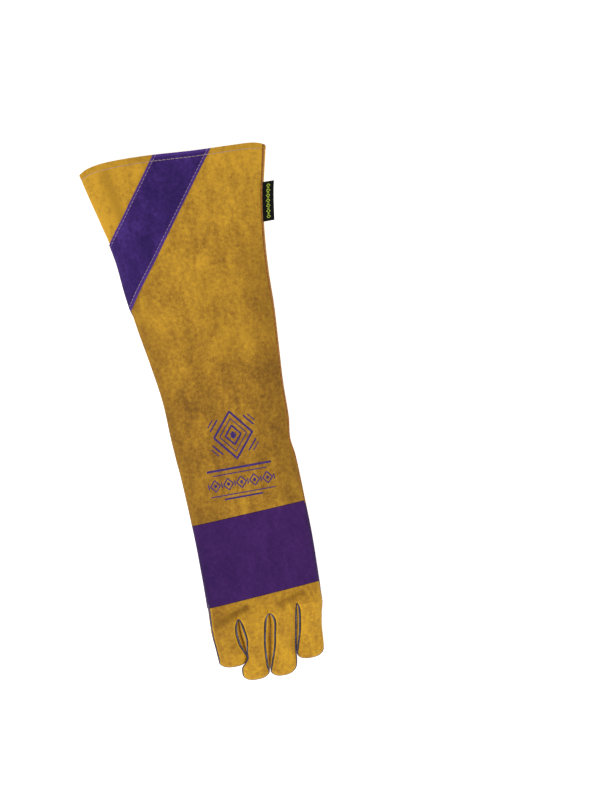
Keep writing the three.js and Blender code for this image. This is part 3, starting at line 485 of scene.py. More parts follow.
def under_edges(section, clearance=SEAM_HALF):
    """The angles at which a panel of the palm side begins and ends beside its seams."""
    room = clearance * (1 - section["tip"] ** 2)
    return (
        angle_beside(section, section["right_seam"], room, -1),
        angle_beside(section, section["left_seam"] - 2 * math.pi, room, 1),
    )


def arc_angles(section, edges, count, rim=True):
    """Angles between two edges, evenly spaced round the section and closer at the rims, and their distances
    from the nearest rim."""
    fine = np.linspace(0, 1, 200)[None, :]
    angles = edges[0] + (edges[1] - edges[0]) * fine
    p = loop_point(section, angles)
    step = np.hypot(np.diff(p[..., 0], axis=1), np.diff(p[..., 2], axis=1))
    run = np.concatenate([np.zeros((len(step), 1)), np.cumsum(step, axis=1)], axis=1)
    total = run[:, -1:]
    near = np.array(RIM_STEPS if rim else (0.0,))
    inner = np.linspace(0, 1, count + 1)[1:-1][None, :]
    span = np.maximum(total - 2 * near[-1], 0.1 * total)
    edge = near[None, :] * np.minimum(1, 0.45 * total / max(near[-1], 1e-6))
    want = np.concatenate([edge, edge[:, -1:] + inner * span, (total - edge)[:, ::-1]], axis=1)
    want = np.sort(want, axis=1)
    found = np.stack([np.interp(w, r, a) for w, r, a in zip(want, run, angles)])
    return found, np.minimum(want, total - want)


def roll(distance, radius=ROLL):
    """How far a seam edge turns in at a distance from the edge."""
    t = np.clip(1 - distance / radius, 0, 1)
    return radius * (1 - np.sqrt(1 - t * t))


def relief(section, angle):
    """Soft unevenness of the leather in millimetres, fading out towards the side seams."""
    plain = loop_point(section, angle)
    flat = plain.reshape(-1, 3)
    bumps = np.zeros(len(flat))
    for across, along, up, shift, height in RELIEF:
        places = flat / (across, along, up) + (0, 0, shift)
        bumps += [height * noise.noise(Vector(place)) for place in places]
    room = section["shrink"] * section["half"] - np.abs(plain[..., 0] - section["centre"])
    fade = smooth(room / np.minimum(RELIEF_FADE, 0.6 * section["half"]))
    return bumps.reshape(plain.shape[:-1]) * fade


def on_body(x, y, back=True):
    """The cross-sections and angles of places on the sleeve or hand, from their places in plan."""
    x, y = np.ravel(x).astype(float)[:, None], np.ravel(y).astype(float)[:, None]
    level = y
    for _ in range(6):
        section = body_section(station_at(level[:, 0]))
        level = y + hem_drop(section, x) - section["slant"] * (x - HAND_SHIFT)
    rounding = section["left_round"] if back else section["under_round"]
    angle = np.arccos(power(across_at(section, x), rounding / 2))
    return section, angle if back else -angle


def stripe_line(y, edge):
    """The x of the stripe's near edge (0) or far edge (1) at a y."""
    slope = math.tan(STRIPE_ANGLE * DEG)
    return STRIPE_CORNER - edge * STRIPE_WIDTH / math.cos(STRIPE_ANGLE * DEG) - slope * (HEM_Y - y)


def overlay_height(x, y):
    """How far the stripe raises what lies on the sleeve's back."""
    lean = math.cos(STRIPE_ANGLE * DEG)
    inside = np.minimum(stripe_line(y, 0) - x, x - stripe_line(y, 1)) * lean
    return (PATCH + GAP) * smooth((inside + 0.6) / 1.2)


def raised(section, angles, rise):
    """Points at a rise over cross-sections, and points one millimetre above them."""
    height = relief(section, angles) + rise
    return loop_point(section, angles, -height)[:, 0], loop_point(section, angles, -height - 1)[:, 0]


def path_on_overlay(x, y, back):
    """Points and outward directions of a stitch row on the stripe or a patch."""
    points, above = raised(*on_body(x, y, back), PATCH + GAP - THREAD_SUNK)
    return points, unit(above - points)


def make_mesh(name, vertices, faces, material, nodes=(), slot=None, marks=None, sharp=None):
    """A closed mesh in the part's frame, from millimetres, that replaces CAD nodes. Vertices without a face
    are left out."""
    mesh = bpy.data.meshes.new(name)
    used = np.unique([i for face in faces for i in face])
    number = np.zeros(len(vertices), int)
    number[used] = np.arange(len(used))
    moved = (vertices[used] + np.array(ORIGIN)) * MM
    mesh.from_pydata(moved.tolist(), [], [number[face].tolist() for face in faces])
    for mark, values in (marks or {}).items():
        attribute = mesh.attributes.new(mark, "FLOAT", "POINT")
        attribute.data.foreach_set("value", values[used].astype(np.float32))
    work = bmesh.new()
    work.from_mesh(mesh)
    bmesh.ops.remove_doubles(work, verts=work.verts, dist=2e-6)
    bmesh.ops.recalc_face_normals(work, faces=work.faces)
    work.to_mesh(mesh)
    work.free()
    mesh.shade_smooth()
    if sharp:
        mesh.set_sharp_from_angle(angle=sharp * DEG)
    obj = bpy.data.objects.new(name, mesh)
    bpy.context.scene.collection.objects.link(obj)
    mesh.materials.append(material)
    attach(obj, "root")
    if nodes:
        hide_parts(*nodes)
    return obj


def grid_cells(ids):
    """The quads of a grid of vertex numbers."""
    a, b, c, d = ids[:-1, :-1], ids[1:, :-1], ids[1:, 1:], ids[:-1, 1:]
    return np.stack([a, b, c, d], -1).reshape(-1, 4).tolist()


def shell(outer, inner, cells):
    """Vertices and faces of a closed shell between two equal sheets, with its free edges closed."""
    outer, inner = outer.reshape(-1, 3), inner.reshape(-1, 3)
    count = len(outer)
    free = {}
    for cell in cells:
        for p, q in zip(cell, cell[1:] + cell[:1]):
            if free.pop((q, p), None) is None:
                free[(p, q)] = True
    rim = [[q, p, p + count, q + count] for p, q in free]
    back = [[i + count for i in reversed(cell)] for cell in cells]
    return np.concatenate([outer, inner]), cells + back + rim


def sheet_shell(outer, inner):
    """The closed shell between two grids of points."""
    return shell(outer, inner, grid_cells(np.arange(outer[..., 0].size).reshape(outer.shape[:2])))


def joined(meshes):
    """One mesh's vertices and faces from those of many."""
    vertices, faces, start = [], [], 0
    for points, cells in meshes:
        vertices.append(points)
        faces += [[i + start for i in cell] for cell in cells]
        start += len(points)
    return np.concatenate(vertices), faces


def tube(rings):
    """Vertices and faces of a tube through rings of points, closed at both ends."""
    ids = np.arange(rings[..., 0].size).reshape(rings.shape[:2])
    closed = np.concatenate([ids, ids[:, :1]], axis=1)
    return rings.reshape(-1, 3), grid_cells(closed) + [ids[0].tolist(), ids[-1, ::-1].tolist()]


def leather_marks(edge, crease=0.0):
    """How much lighter the rims are, for wear and a painted highlight, and how much painted shade lies in
    creases and other shaded places on a shell's outer sheet, with none inside.
    """
    values = {"edge": np.ravel(edge), "crease": np.ravel(crease + 0 * edge)}
    return {name: np.concatenate([value, 0 * value]) for name, value in values.items()}


# Rims lighter along the seams: partly wear, partly a painted highlight on the rolled edges
def lit_worn_rim(distance, width=2.4):
    return np.clip(1 - distance / width, 0, 1) ** 1.5


def lit_worn_margin(distance):
    """The margin between a patch's edge and its stitches, which is lighter: wear, and a painted highlight on
    the raised leather.
    """
    return 0.42 * smooth((STRIPE_STITCH + 0.5 - distance) / 0.9) + 0.5 * np.clip(1 - distance / 0.8, 0, 1)


def rows_between(start, end, count, rim_end=True, extra=()):
    """Places from one down to another, with closer ones at the rims, and their distances from those rims."""
    near = np.array(RIM_STEPS)
    first = start - near
    last = (end + near)[::-1] if rim_end else np.array([float(end)])
    middle = np.linspace(first[-1], last[0], count + 1)[1:-1]
    places = np.sort(np.concatenate([first, middle, last, extra]))[::-1]
    from_start, from_end = np.abs(places - start), np.abs(places - end)
    return places, np.minimum(from_start, from_end) if rim_end else from_start


def groove(distance, at, depth, half_width):
    return depth * np.exp(-(((distance - at) / half_width) ** 2))


def hem_fold(distance):
    """The hem's turned-in edge: more leather inside it, pressed in along its stitches."""
    thickness = WALL + HEM_TURN * smooth((HEM_TURN_DEPTH - distance) / 1.2)
    return thickness, groove(distance, HEM_STITCH, 0.45, 1.1)


def sleeve_highlight_and_shade(plain, from_side):
    """How much painted highlight lies on the sleeve's back beside its open edge beyond the stripe, and how
    much painted shade at its sides.
    """
    beyond = stripe_line(plain[..., 1], 1) > plain[..., 0]
    strength, reach = OPEN_EDGE_HIGHLIGHT
    lighter = strength * beyond * np.clip(1 - from_side / reach, 0, 1) ** 1.6
    strength, reach = SLEEVE_SIDE_SHADE
    return lighter, strength * smooth(1 - from_side / reach) * smooth((240 - plain[..., 1]) / 80)


def band_side_shade(plain, from_side):
    """The band has no painted highlight, and painted shade at both of its ends."""
    strength, reach = BAND_SIDE_SHADE
    return 0 * plain[..., 0], strength * smooth(1 - from_side / reach)


def body_panel(y_start, y_end, rows, edges_of, columns, hem=False, painted_light=None):
    """A panel of the sleeve or hand: its vertices, its faces and its marks."""
    extra = HEM_Y - np.array(HEM_ROWS + HEM_TURN_ROWS) if hem else ()
    places, from_end = rows_between(y_start, y_end, rows, extra=extra)
    section = body_section(station_at(places))
    angles, from_side = arc_angles(section, edges_of(section), columns)
    height = relief(section, angles)
    from_start = y_start - places[:, None]
    thickness, pressed = hem_fold(from_start) if hem else (WALL, 0.0)
    depth = np.maximum(roll(from_end[:, None], END_ROLL), roll(from_side)) - height + pressed
    turned = roll(from_start, END_ROLL) if hem else 0.0
    outer = loop_point(section, angles, depth)
    inner = loop_point(section, angles, np.maximum(depth + 0.3, thickness - height - turned))
    plain = loop_point(section, angles)
    # Painted shade in the soft valleys
    crease = valleys(section, plain[..., 0], np.sin(angles) >= 0) / (0.2 * HAND_HEIGHT)
    if hem:
        # Darker beyond the hem's stitches
        crease = np.maximum(crease, 0.22 * smooth(HEM_STITCH + 0.6 - from_start))
    # Rims lighter along the side seams: wear and a painted highlight
    rim = lit_worn_rim(from_side)
    # Painted highlight along the sleeve's open edge, and painted shade at the sleeve's and band's sides
    if painted_light:
        lighter, darker = painted_light(plain, from_side)
        rim, crease = np.maximum(rim, lighter), np.maximum(crease, darker)
    return *sheet_shell(outer, inner), leather_marks(rim, crease)


def wall_sheets(section, angles, distance, radius=ROLL):
    """The outer and inner sheet of a leather wall whose rims roll in."""
    height = relief(section, angles)
    depth = roll(distance, radius) - height
    return [loop_point(section, angles, d) for d in (depth, np.maximum(depth + 0.3, WALL - height))]


def overlay_sheets(section, angles, distance, proud, pressed):
    """The outer and inner sheet of a stripe or patch that stands proud of the leather under it."""
    height = relief(section, angles)
    depth = roll(distance, PATCH_ROLL) * proud / (GAP + PATCH) - height - proud + pressed * (proud > 1)
    return [loop_point(section, angles, d) for d in (depth, np.maximum(-height - GAP, depth + 0.2))]


def seam_backing(name, y, material):
    """The seam allowance inside a cross seam of the hand's back, painted in the shade tone all over: painted
    shade that shows as the seam's dark line.
    """
    section = body_section(station_at(y + np.linspace(-2.4, 2.4, 5)))
    angles, _ = arc_angles(section, back_edges(section, 3), 110, rim=False)
    height = relief(section, angles)
    outer, inner = (loop_point(section, angles, depth - height) for depth in (WALL + 0.1, WALL + 0.6))
    make_mesh(name, *sheet_shell(outer, inner), material, (), "purple_suede", leather_marks(0 * height, 1))


def finger_stops(finger):
    """Places along a finger, then evenly round its tip."""
    reach = FINGERS[finger][2] * FINGER_LENGTH
    tip_start = 1 - TIP_ROUND / reach
    straight = np.concatenate([0.16 * np.linspace(0, 1, 18)[:-1] ** 2, np.linspace(0.16, tip_start, 34)])
    return np.concatenate([straight, tip_stops(reach)])


def finger_sheet(finger, edges_of, columns, lift):
    """The two sheets of one side of a finger, and the distances from its seams."""
    stops = finger_stops(finger)
    section = finger_section(finger, stops)
    angles, from_seam = arc_angles(section, edges_of(section), columns)
    radius = 0.05 + (ROLL - 0.05) * smooth(stops / 0.12)[:, None]
    lifted = np.array((0, 0, 1)) * (lift * SEAM_HALF * section["tip"] ** 2)[..., None]
    outer, inner = wall_sheets(section, angles, from_seam, radius)
    return outer + lifted, inner + lifted, from_seam


def shade_streaks(points):
    """How much painted shade lies along soft creases at places of the hand's back."""
    total = 0
    for x_a, y_a, x_b, y_b, width, strength in SHADE_STREAKS:
        step = np.array((x_b - x_a, y_b - y_a))
        away = points[..., :2] - (x_a, y_a)
        along = np.clip(away @ step / (step @ step), 0, 1)
        distance = np.linalg.norm(away - along[..., None] * step, axis=-1)
        total = total + strength * np.exp(-((distance / width) ** 2))
    return total


def finger_web(crotch, lengths, halo):
    """The back panel from the knuckle line to the crotch row: its two sheets, the distances from its side
    rims and from the halo's places, and how much painted shade lies on it."""
    steps = np.linalg.norm(np.diff(crotch[0][:, [0, 2]], axis=0), axis=1)
    share = np.concatenate([[0], np.cumsum(steps)]) / steps.sum()
    places, from_end = rows_between(KNUCKLE_Y - SEAM_SLIT / 2, CROTCH_Y, 15, rim_end=False)
    section = body_section(station_at(places))
    fine, _ = arc_angles(section, back_edges(section), 160, rim=False)
    angles = np.stack([np.interp(share, np.linspace(0, 1, fine.shape[1]), row) for row in fine])
    from_side = np.minimum(share, 1 - share)[None, :] * steps.sum()
    height = relief(section, angles)
    down = web_share(places)[:, None]
    towards = down[..., None] ** 2
    rim = np.maximum(roll(from_end[:, None], END_ROLL), roll(from_side))
    web = []
    for depth, row in zip((rim, WALL), crotch):
        flat = loop_point(section, angles, depth - height)
        root = row + np.array((0, 1, 0)) * (places - CROTCH_Y)[:, None, None]
        web.append(flat * (1 - towards) + root * towards)
    from_halo = np.min([np.linalg.norm(web[0] - place, axis=-1) for place in halo], axis=0)
    valley = valleys(section, loop_point(section, angles)[..., 0], np.sin(angles) >= 0)
    shade = mix(WEB_SHADE, np.repeat([FINGER_SHADE[finger] for finger in FINGERS], lengths), down**1.5)
    # Painted shade: in the valleys, over the web under the band, and along soft creases
    darkness = valley / (0.16 * HAND_HEIGHT) * (1 - towards[..., 0]) + shade + shade_streaks(web[0])
    return web, np.minimum(from_side, from_halo), darkness


def finger_backs(material):
    """The back panel of all four fingers: one sheet from the knuckle line, with a slit between each two."""
    sheets = [finger_sheet(f, back_edges, FINGER_COLUMNS, 1) for f in FINGERS]
    for left, right in zip(sheets, sheets[1:]):
        for side in (0, 1):
            left[side][0, -1] = right[side][0, 0] = (left[side][0, -1] + right[side][0, 0]) / 2
    crotch = [[sheet[side][0, min(k, 1):] for k, sheet in enumerate(sheets)] for side in (0, 1)]
    lengths = [len(part) for part in crotch[0]]
    # The leather is painted lighter round the left ends of the first three fingers' roots: a painted
    # highlight where it turns up at the seams
    halo = [outer[0, 0] for outer, _, _ in sheets[:-1]]
    web, from_rim, darkness = finger_web([np.concatenate(parts) for parts in crotch], lengths, halo)
    ids = np.arange(from_rim.size).reshape(from_rim.shape)
    cells, next_id, column = grid_cells(ids), ids.size, 0
    positions = [[sheet.reshape(-1, 3)] for sheet in web]
    seam, crease = [np.ravel(from_rim)], [np.ravel(darkness)]
    for finger, (outer, inner, from_seam) in zip(FINGERS, sheets):
        rows, columns = len(outer) - 1, outer.shape[1]
        finger_ids = next_id + np.arange(rows * columns).reshape(rows, columns)
        cells += grid_cells(np.concatenate([ids[-1:, column:column + columns], finger_ids]))
        positions[0].append(outer[1:].reshape(-1, 3))
        positions[1].append(inner[1:].reshape(-1, 3))
        seam.append(np.ravel(from_seam[1:]))
        # Painted shade on the finger, fading out past its middle, and along soft creases
        shade = FINGER_SHADE[finger] * (1 - smooth((finger_stops(finger) - 0.5) / 0.3))
        crease.append(np.repeat(shade[1:], columns) + np.ravel(shade_streaks(outer[1:])))
        next_id += rows * columns
        column += columns - 1
    vertices, faces = shell(np.concatenate(positions[0]), np.concatenate(positions[1]), cells)
    # Rims lighter along the seams and round the roots: wear and a painted highlight
    marks = leather_marks(lit_worn_rim(np.concatenate(seam), 4.4), np.concatenate(crease))
    make_mesh("finger_backs_leather", vertices, faces, material, ["finger_backs"], "ochre_suede", marks)


def finger_front(finger, material):
    """The channel that forms a finger's front and sides."""
    outer, inner, from_seam = finger_sheet(finger, under_edges, 34, -1)
    outer[..., 2] = np.maximum(outer[..., 2], ON_FLOOR)
    inner[..., 2] = np.maximum(inner[..., 2], outer[..., 2].clip(0, WALL) + 0.05)
    name = f"{finger}_finger_front"
    # Rims lighter along the seams: wear and a painted highlight
    marks = leather_marks(lit_worn_rim(from_seam, 3))
    make_mesh(name + "_leather", *sheet_shell(outer, inner), material, [name], "ochre_suede", marks)


def strip(points, normals, half=WELT / 2, flange=False, proud=WELT_PROUD):
    """Vertices and faces of a round-topped strip along a path. It may have a flange inside the seam."""
    along = unit(np.gradient(points, axis=0))
    side = unit(np.cross(along, normals))
    out = np.cross(side, along)
    foot = FLANGE if flange else ((-0.85, -WELT_DEPTH),)
    profile = [*foot, (-1.0, proud - 0.75), (-0.82, proud - 0.2), (-0.35, proud)]
    profile += [(-across, up) for across, up in reversed(profile)]
    return tube(np.stack([points + side * (a * half) + out * u for a, u in profile], axis=1))


def seam_frames(section, angle):
    """Points and outward directions along a seam of cross-sections."""
    points = loop_point(section, angle)[:, 0]
    turn = 2 * DEG
    around = (loop_point(section, angle + turn) - loop_point(section, angle - turn))[:, 0]
    return points, unit(np.cross(around, np.gradient(points, axis=0)))


def side_welt(name, side, finger, material):
    """The welt of a side seam, which leads into its finger's seam."""
    below = np.linspace(KNUCKLE_Y, CROTCH_Y + GAP, 14)[1:]
    places = np.concatenate([np.linspace(HEM_Y, KNUCKLE_Y, 170), below])
    section = body_section(station_at(places))
    points, out = seam_frames(section, section[side])
    root = finger_section(finger, 0)
    towards = web_share(places)[:, None] ** 2
    target = loop_point(root, root[side])[0] + np.array((0, 1, 0)) * (places - CROTCH_Y)[:, None]
    path = mix(points, target, towards)
    make_mesh(name + "_piping", *strip(path, out, SIDE_WELT / 2, True), material, [name], "welt")


def finger_welt(finger, material):
    """The welt round one finger, down one side, round the tip and up the other."""
    left_line, right_line = FINGERS[finger][:2]
    stops = finger_stops(finger)[:-1]
    section = finger_section(finger, stops)
    left, left_out = seam_frames(section, section["left_seam"])
    right, right_out = seam_frames(section, section["right_seam"])
    first = {line: 4 if line in ("little", "index") else 0 for line in (left_line, right_line)}
    tip = loop_point(finger_section(finger, 1), np.zeros((1, 1)))[0]
    points = np.concatenate([left[first[left_line]:], tip, right[first[right_line]:][::-1]])
    out = np.concatenate([left_out[first[left_line]:], [(0, -1, 0)], right_out[first[right_line]:][::-1]])
    name = f"{finger}_finger_welt"
    make_mesh(name + "_piping", *strip(points, out), material, [name], "welt")


def cross_welt(name, station, angles, material, nodes, slot="purple_suede", proud=WELT_PROUD):
    """A welt that runs round the palm side of one cross-section."""
    angles = np.asarray(angles)[:, None]
    section = {key: np.repeat(value, len(angles), axis=0) for key, value in body_section(station).items()}
    points, above = raised(section, angles, 0)
    points[:, 2] = np.maximum(points[:, 2], WELT_PROUD)
    vertices, faces = strip(points, unit(above - points), proud=proud)
    vertices[:, 2] = np.maximum(vertices[:, 2], ON_FLOOR)
    make_mesh(name + "_piping", vertices, faces, material, nodes, slot)


def wrist_welt(material):
    section = body_section(1)
    start, end = under_edges(section, SEAM_HALF + WELT)
    cross_welt("wrist_welt", 1, np.linspace(start[0, 0], end[0, 0], 70), material, ["wrist_welt"])


def finger_base_welt(material, plain):
    """The welt across the roots of the ring and middle fingers, and the plain seams beside it."""
    lines = row_at(FINGER_LINES, "along", np.zeros(1))
    section = body_section(3)
    ends = []
    for line in ("middle_index", "little_ring"):
        across = (HAND_SHIFT + lines[line][0] * HAND_WIDTH - section["centre"][0, 0]) / section["half"][0, 0]
        ends.append(-math.acos(power(across, UNDER_ROUND / 2)))
    cross_welt("finger_base_welt", 3, np.linspace(ends[0], ends[1], 40), material, ["finger_base_welt"])
    outer = [edge[0, 0] for edge in under_edges(section)]
    for name, start, end in (("index", outer[0], ends[0] + 0.02), ("little", ends[1] - 0.02, outer[1])):
        cross_welt(name + "_base_seam", 3, np.linspace(start, end, 24), plain, (), "ochre_suede", -0.5)


def stripe(material):
    """The purple stripe over the sleeve's back, from the hem to the seam on the little-finger side."""
    far = HEM_Y - SLEEVE_LENGTH * STRIPE_END
    places, from_hem = rows_between(HEM_Y, far, 110, rim_end=False, extra=HEM_Y - np.array(HEM_ROWS))
    section = body_section(station_at(places))
    limit = angle_beside(section, section["left_seam"], SEAM_HALF, -1)
    edges = []
    for edge in (0, 1):
        x = stripe_line(section["y"], edge)
        for _ in range(8):
            x = stripe_line(section["y"] - hem_drop(section, x) + section["slant"] * (x - HAND_SHIFT), edge)
        beyond = section["centre"] - section["half"] - x
        wrapped = math.pi + np.arcsin(np.clip(np.maximum(beyond, 0) / section["down"], 0, 0.9) ** 1.6)
        angle = np.where(beyond > 0, wrapped, np.arccos(power(across_at(section, x), BACK_ROUND / 2)))
        edges.append(np.minimum(angle, limit))
    kept = (edges[1] - edges[0])[:, 0] > 0.004
    section = {key: value[kept] for key, value in section.items()}
    edges = [e[kept] for e in edges]
    from_hem = from_hem[kept][:, None]
    angles, from_side = arc_angles(section, edges, 34)
    across = from_side * math.cos(STRIPE_ANGLE * DEG)
    on_edge = np.minimum(from_hem, across)
    pressed = groove(across, STRIPE_STITCH, 0.3, 0.8) + groove(from_hem, HEM_STITCH, 0.35, 1.0)
    proud = mix(GAP + PATCH, THIN_EDGE, smooth((angles - math.pi + 4 * DEG) / (10 * DEG)))
    sheets = overlay_sheets(section, angles, on_edge, proud, pressed)
    # Margins lighter: wear and a painted highlight
    marks = leather_marks(lit_worn_margin(on_edge))
    make_mesh("stripe_leather", *sheet_shell(*sheets), material, ["stripe"], "purple_suede", marks)


def inside_distance(points, outline):
    """Signed distances in plan to a closed outline, positive inside, and the nearest places on it."""
    best = np.full(len(points), 1e9)
    nearest = np.zeros((len(points), 2))
    inside = np.zeros(len(points), bool)
    for a, b in zip(outline, np.roll(outline, -1, axis=0)):
        d = b - a
        t = np.clip(((points - a) @ d) / max(d @ d, 1e-9), 0, 1)
        at = a + t[:, None] * d
        away = np.linalg.norm(points - at, axis=1)
        closer = away < best
        best[closer], nearest[closer] = away[closer], at[closer]
        crosses = (a[1] > points[:, 1]) != (b[1] > points[:, 1])
        with np.errstate(divide="ignore", invalid="ignore"):
            x = a[0] + (points[:, 1] - a[1]) / (b[1] - a[1]) * d[0]
        inside ^= crosses & (points[:, 0] < x)
    return np.where(inside, best, -best), nearest


def spread(section, shape):
    """A grid's cross-sections, one for each of its points."""
    return {key: np.broadcast_to(value, shape).reshape(-1, 1).copy() for key, value in section.items()}


def wrist_outline():
    """The D-shaped patch's curved edge in plan, from one end of its straight edge to the other."""
    turn = np.linspace(-math.pi / 2, math.pi / 2, 61)
    x = HAND_SHIFT + WRIST_PATCH_SHIFT + power(np.sin(turn), 2 / 2.4) * WRIST_PATCH_WIDTH / 2
    return x, WRIST_Y + WRIST_PATCH_LENGTH * power(np.cos(turn), 2 / 2.4)


def wrist_patch(material):
    """The D-shaped patch, whose straight edge lies along the wrist seam."""
    x, top = wrist_outline()
    bottom = WRIST_Y + SEAM_HALF + body_section(1)["slant"][0, 0] * (x - HAND_SHIFT)
    top = np.maximum(top, bottom + 0.3)
    share = np.concatenate([[0, 0.004, 0.012, 0.025], np.linspace(0.05, 0.95, 34), [0.975, 0.988, 0.996, 1]])
    grid_x = np.broadcast_to(x, (len(share), len(x)))
    grid_y = bottom + (top - bottom) * share[:, None]
    outline = np.stack([np.concatenate([x, x[::-1]]), np.concatenate([top, bottom[::-1]])], -1)
    plan = np.stack([grid_x.ravel(), grid_y.ravel()], -1)
    distance = np.maximum(inside_distance(plan, outline)[0], 0)[:, None]
    section, angles = on_body(grid_x, grid_y, back=False)
    make_patch("wrist_patch", section, angles, distance, grid_x.shape, material)


def make_patch(name, section, angles, distance, shape, material, kept=None):
    """A patch on the palm side, over a grid of places that may have some of its cells left out. It thins out
    towards the side seams."""
    plain = loop_point(section, angles)
    room = section["half"] - np.abs(plain[..., 0] - section["centre"])
    proud = mix(THIN_EDGE, GAP + PATCH, smooth(room / PATCH_FADE))
    pressed = groove(distance, PATCH_STITCH, 0.3, 0.8)
    outer, inner = overlay_sheets(section, angles, distance, proud, pressed)
    cells = grid_cells(np.arange(len(angles)).reshape(shape))
    if kept is not None:
        cells = [cell for cell in cells if all(kept[cell])]
    # Margins lighter: wear and a painted highlight
    marks = leather_marks(lit_worn_margin(distance))
    make_mesh(name + "_leather", *shell(outer, inner, cells), material, [name], "purple_suede", marks)


def thenar_outline():
    across, along = np.array(THENAR).T
    return np.stack([HAND_SHIFT + across * HAND_WIDTH, WRIST_Y + along * HAND_WIDTH], -1)


def palm_grid(y_start, y_end, rows, columns):
    """A grid over the palm panel: its cross-sections, angles and distances from its edges."""
    places, from_end = rows_between(y_start, y_end, rows)
    section = body_section(station_at(places))
    angles, from_side = arc_angles(section, under_edges(section), columns)
    distance = np.minimum(from_end[:, None], from_side)
    return spread(section, angles.shape), angles.reshape(-1, 1), distance.reshape(-1, 1), angles.shape


def palm_patch(material):
    """The patch over the palm, cut out round the thumb's ball."""
    start, end = WRIST_Y - SEAM_HALF, KNUCKLE_Y + GAP
    section, angles, distance, shape = palm_grid(start, end, 46, 70)
    plan = loop_point(section, angles)[:, 0, :2]
    inside, nearest = inside_distance(plan, thenar_outline())
    near_border = (inside > 0) & (inside < 2.6)
    kept = inside < 2.6
    moved, moved_angles = on_body(nearest[:, 0], nearest[:, 1], back=False)
    snap = near_border[:, None]
    section = {key: np.where(snap, moved[key], value) for key, value in section.items()}
    angles = np.where(snap, moved_angles, angles)
    distance = np.minimum(distance, np.maximum(-inside, 0)[:, None])
    make_patch("palm_patch", section, angles, distance, shape, material, kept)


def palm(material):
    """The palm panel, open where the thumb is set in."""
    section, angles, distance, shape = palm_grid(WRIST_Y - SEAM_HALF, CROTCH_Y + SEAM_HALF, 66, 76)
    plain = loop_point(section, angles)[:, 0]
    towards = (web_share(section["y"]) ** 2)[:, 0]
    outer, inner = (sheet[:, 0] for sheet in wall_sheets(section, angles, distance))
    for finger, side, first in (("index", 0, True), ("little", 1, False)):
        root = finger_section(finger, 0)
        edge = loop_point(root, under_edges(root)[side])[0, 0]
        row_ends = angles.reshape(shape)[:, 0 if first else -1][:, None]
        edge_now = loop_point({k: v.reshape(shape)[:, :1] for k, v in section.items()}, row_ends)[:, 0]
        reach = smooth(1 - np.abs(plain[:, 0] - np.repeat(edge_now[:, 0], shape[1])) / 12)
        shift = np.repeat((edge - edge_now) * (1, 0, 1), shape[1], 0) * (towards * reach)[:, None]
        outer, inner = outer + shift, inner + shift
    hole = thumb_hole()
    cells = grid_cells(np.arange(len(angles)).reshape(shape))
    middle = plain[np.array(cells)].mean(1)
    outside = inside_distance(middle[:, :2], hole)[0] < 0
    cells = [cell for cell, out in zip(cells, outside) if out]
    # Rims lighter along the edges: wear and a painted highlight
    marks = leather_marks(lit_worn_rim(distance))
    make_mesh("palm_leather", *shell(outer, inner, cells), material, ["palm"], "ochre_suede", marks)


def thumb_points(along, angles, grow):
    """Points of the thumb's rings, which stand across its centre line."""
    at = row_at(THUMB, "along", along)
    ahead = row_at(THUMB, "along", np.minimum(along + 0.02, 1))
    behind = row_at(THUMB, "along", np.maximum(along - 0.02, 0))
    dx, dy = ahead["x"] - behind["x"], ahead["y"] - behind["y"]
    length = np.hypot(dx, dy)
    dx, dy = dx / length, dy / length
    tip, shrink = tip_rounding(along, THUMB_LENGTH)
    half_width = (at["width"] * THUMB_WIDTH / 2 + grow) * shrink
    half_height = (at["height"] * THUMB_HEIGHT / 2 + grow) * shrink
    across = half_width * power(np.cos(angles), 2 / FINGER_ROUND)
    z = (np.maximum(at["lift"], 0) + at["height"] / 2) * THUMB_HEIGHT
    z = z + half_height * power(np.sin(angles), 2 / FINGER_ROUND)
    x = HAND_SHIFT + at["x"] * THUMB_LENGTH + tip * grow * dx - across * dy
    y = WRIST_Y + at["y"] * THUMB_LENGTH + tip * grow * dy + across * dx
    return np.stack(np.broadcast_arrays(x, y, z), -1)


def palm_level(points):
    """The height of the palm's underside over points in plan."""
    section, angles = on_body(points[..., 0], points[..., 1], back=False)
    return loop_point(section, angles, -relief(section, angles))[:, 0, 2].reshape(points.shape[:-1])


def thumb_stops(count):
    return np.concatenate([np.linspace(0, 1 - TIP_ROUND / THUMB_LENGTH, count), tip_stops(THUMB_LENGTH)])


def thumb_limits(along, grow):
    """How far each ring reaches round from its lowest point, to both sides, before it meets the palm."""
    limits = []
    steps = np.linspace(0, 1, 121)
    for sign in (1, -1):
        angles = -math.pi / 2 + sign * math.pi * steps[None, :]
        points = thumb_points(along, angles, grow)
        blocked = points[..., 2] > palm_level(points) - GAP
        first = np.where(blocked.any(1), blocked.argmax(1), len(steps) - 1)
        limits.append(-math.pi / 2 + sign * math.pi * steps[np.maximum(first - 1, 1)])
    return limits


def thumb_hole():
    """The outline in plan of the palm's opening into the thumb."""
    along = thumb_stops(60)[:60, None]
    right, left = thumb_limits(along, -WALL)
    is_open = (right < math.pi / 2 - 0.1) & (left > -1.5 * math.pi + 0.1)
    ends = [thumb_points(along, limit[:, None], -WALL - GAP)[:, 0, :2][is_open] for limit in (right, left)]
    return np.concatenate([ends[0], ends[1][::-1]])


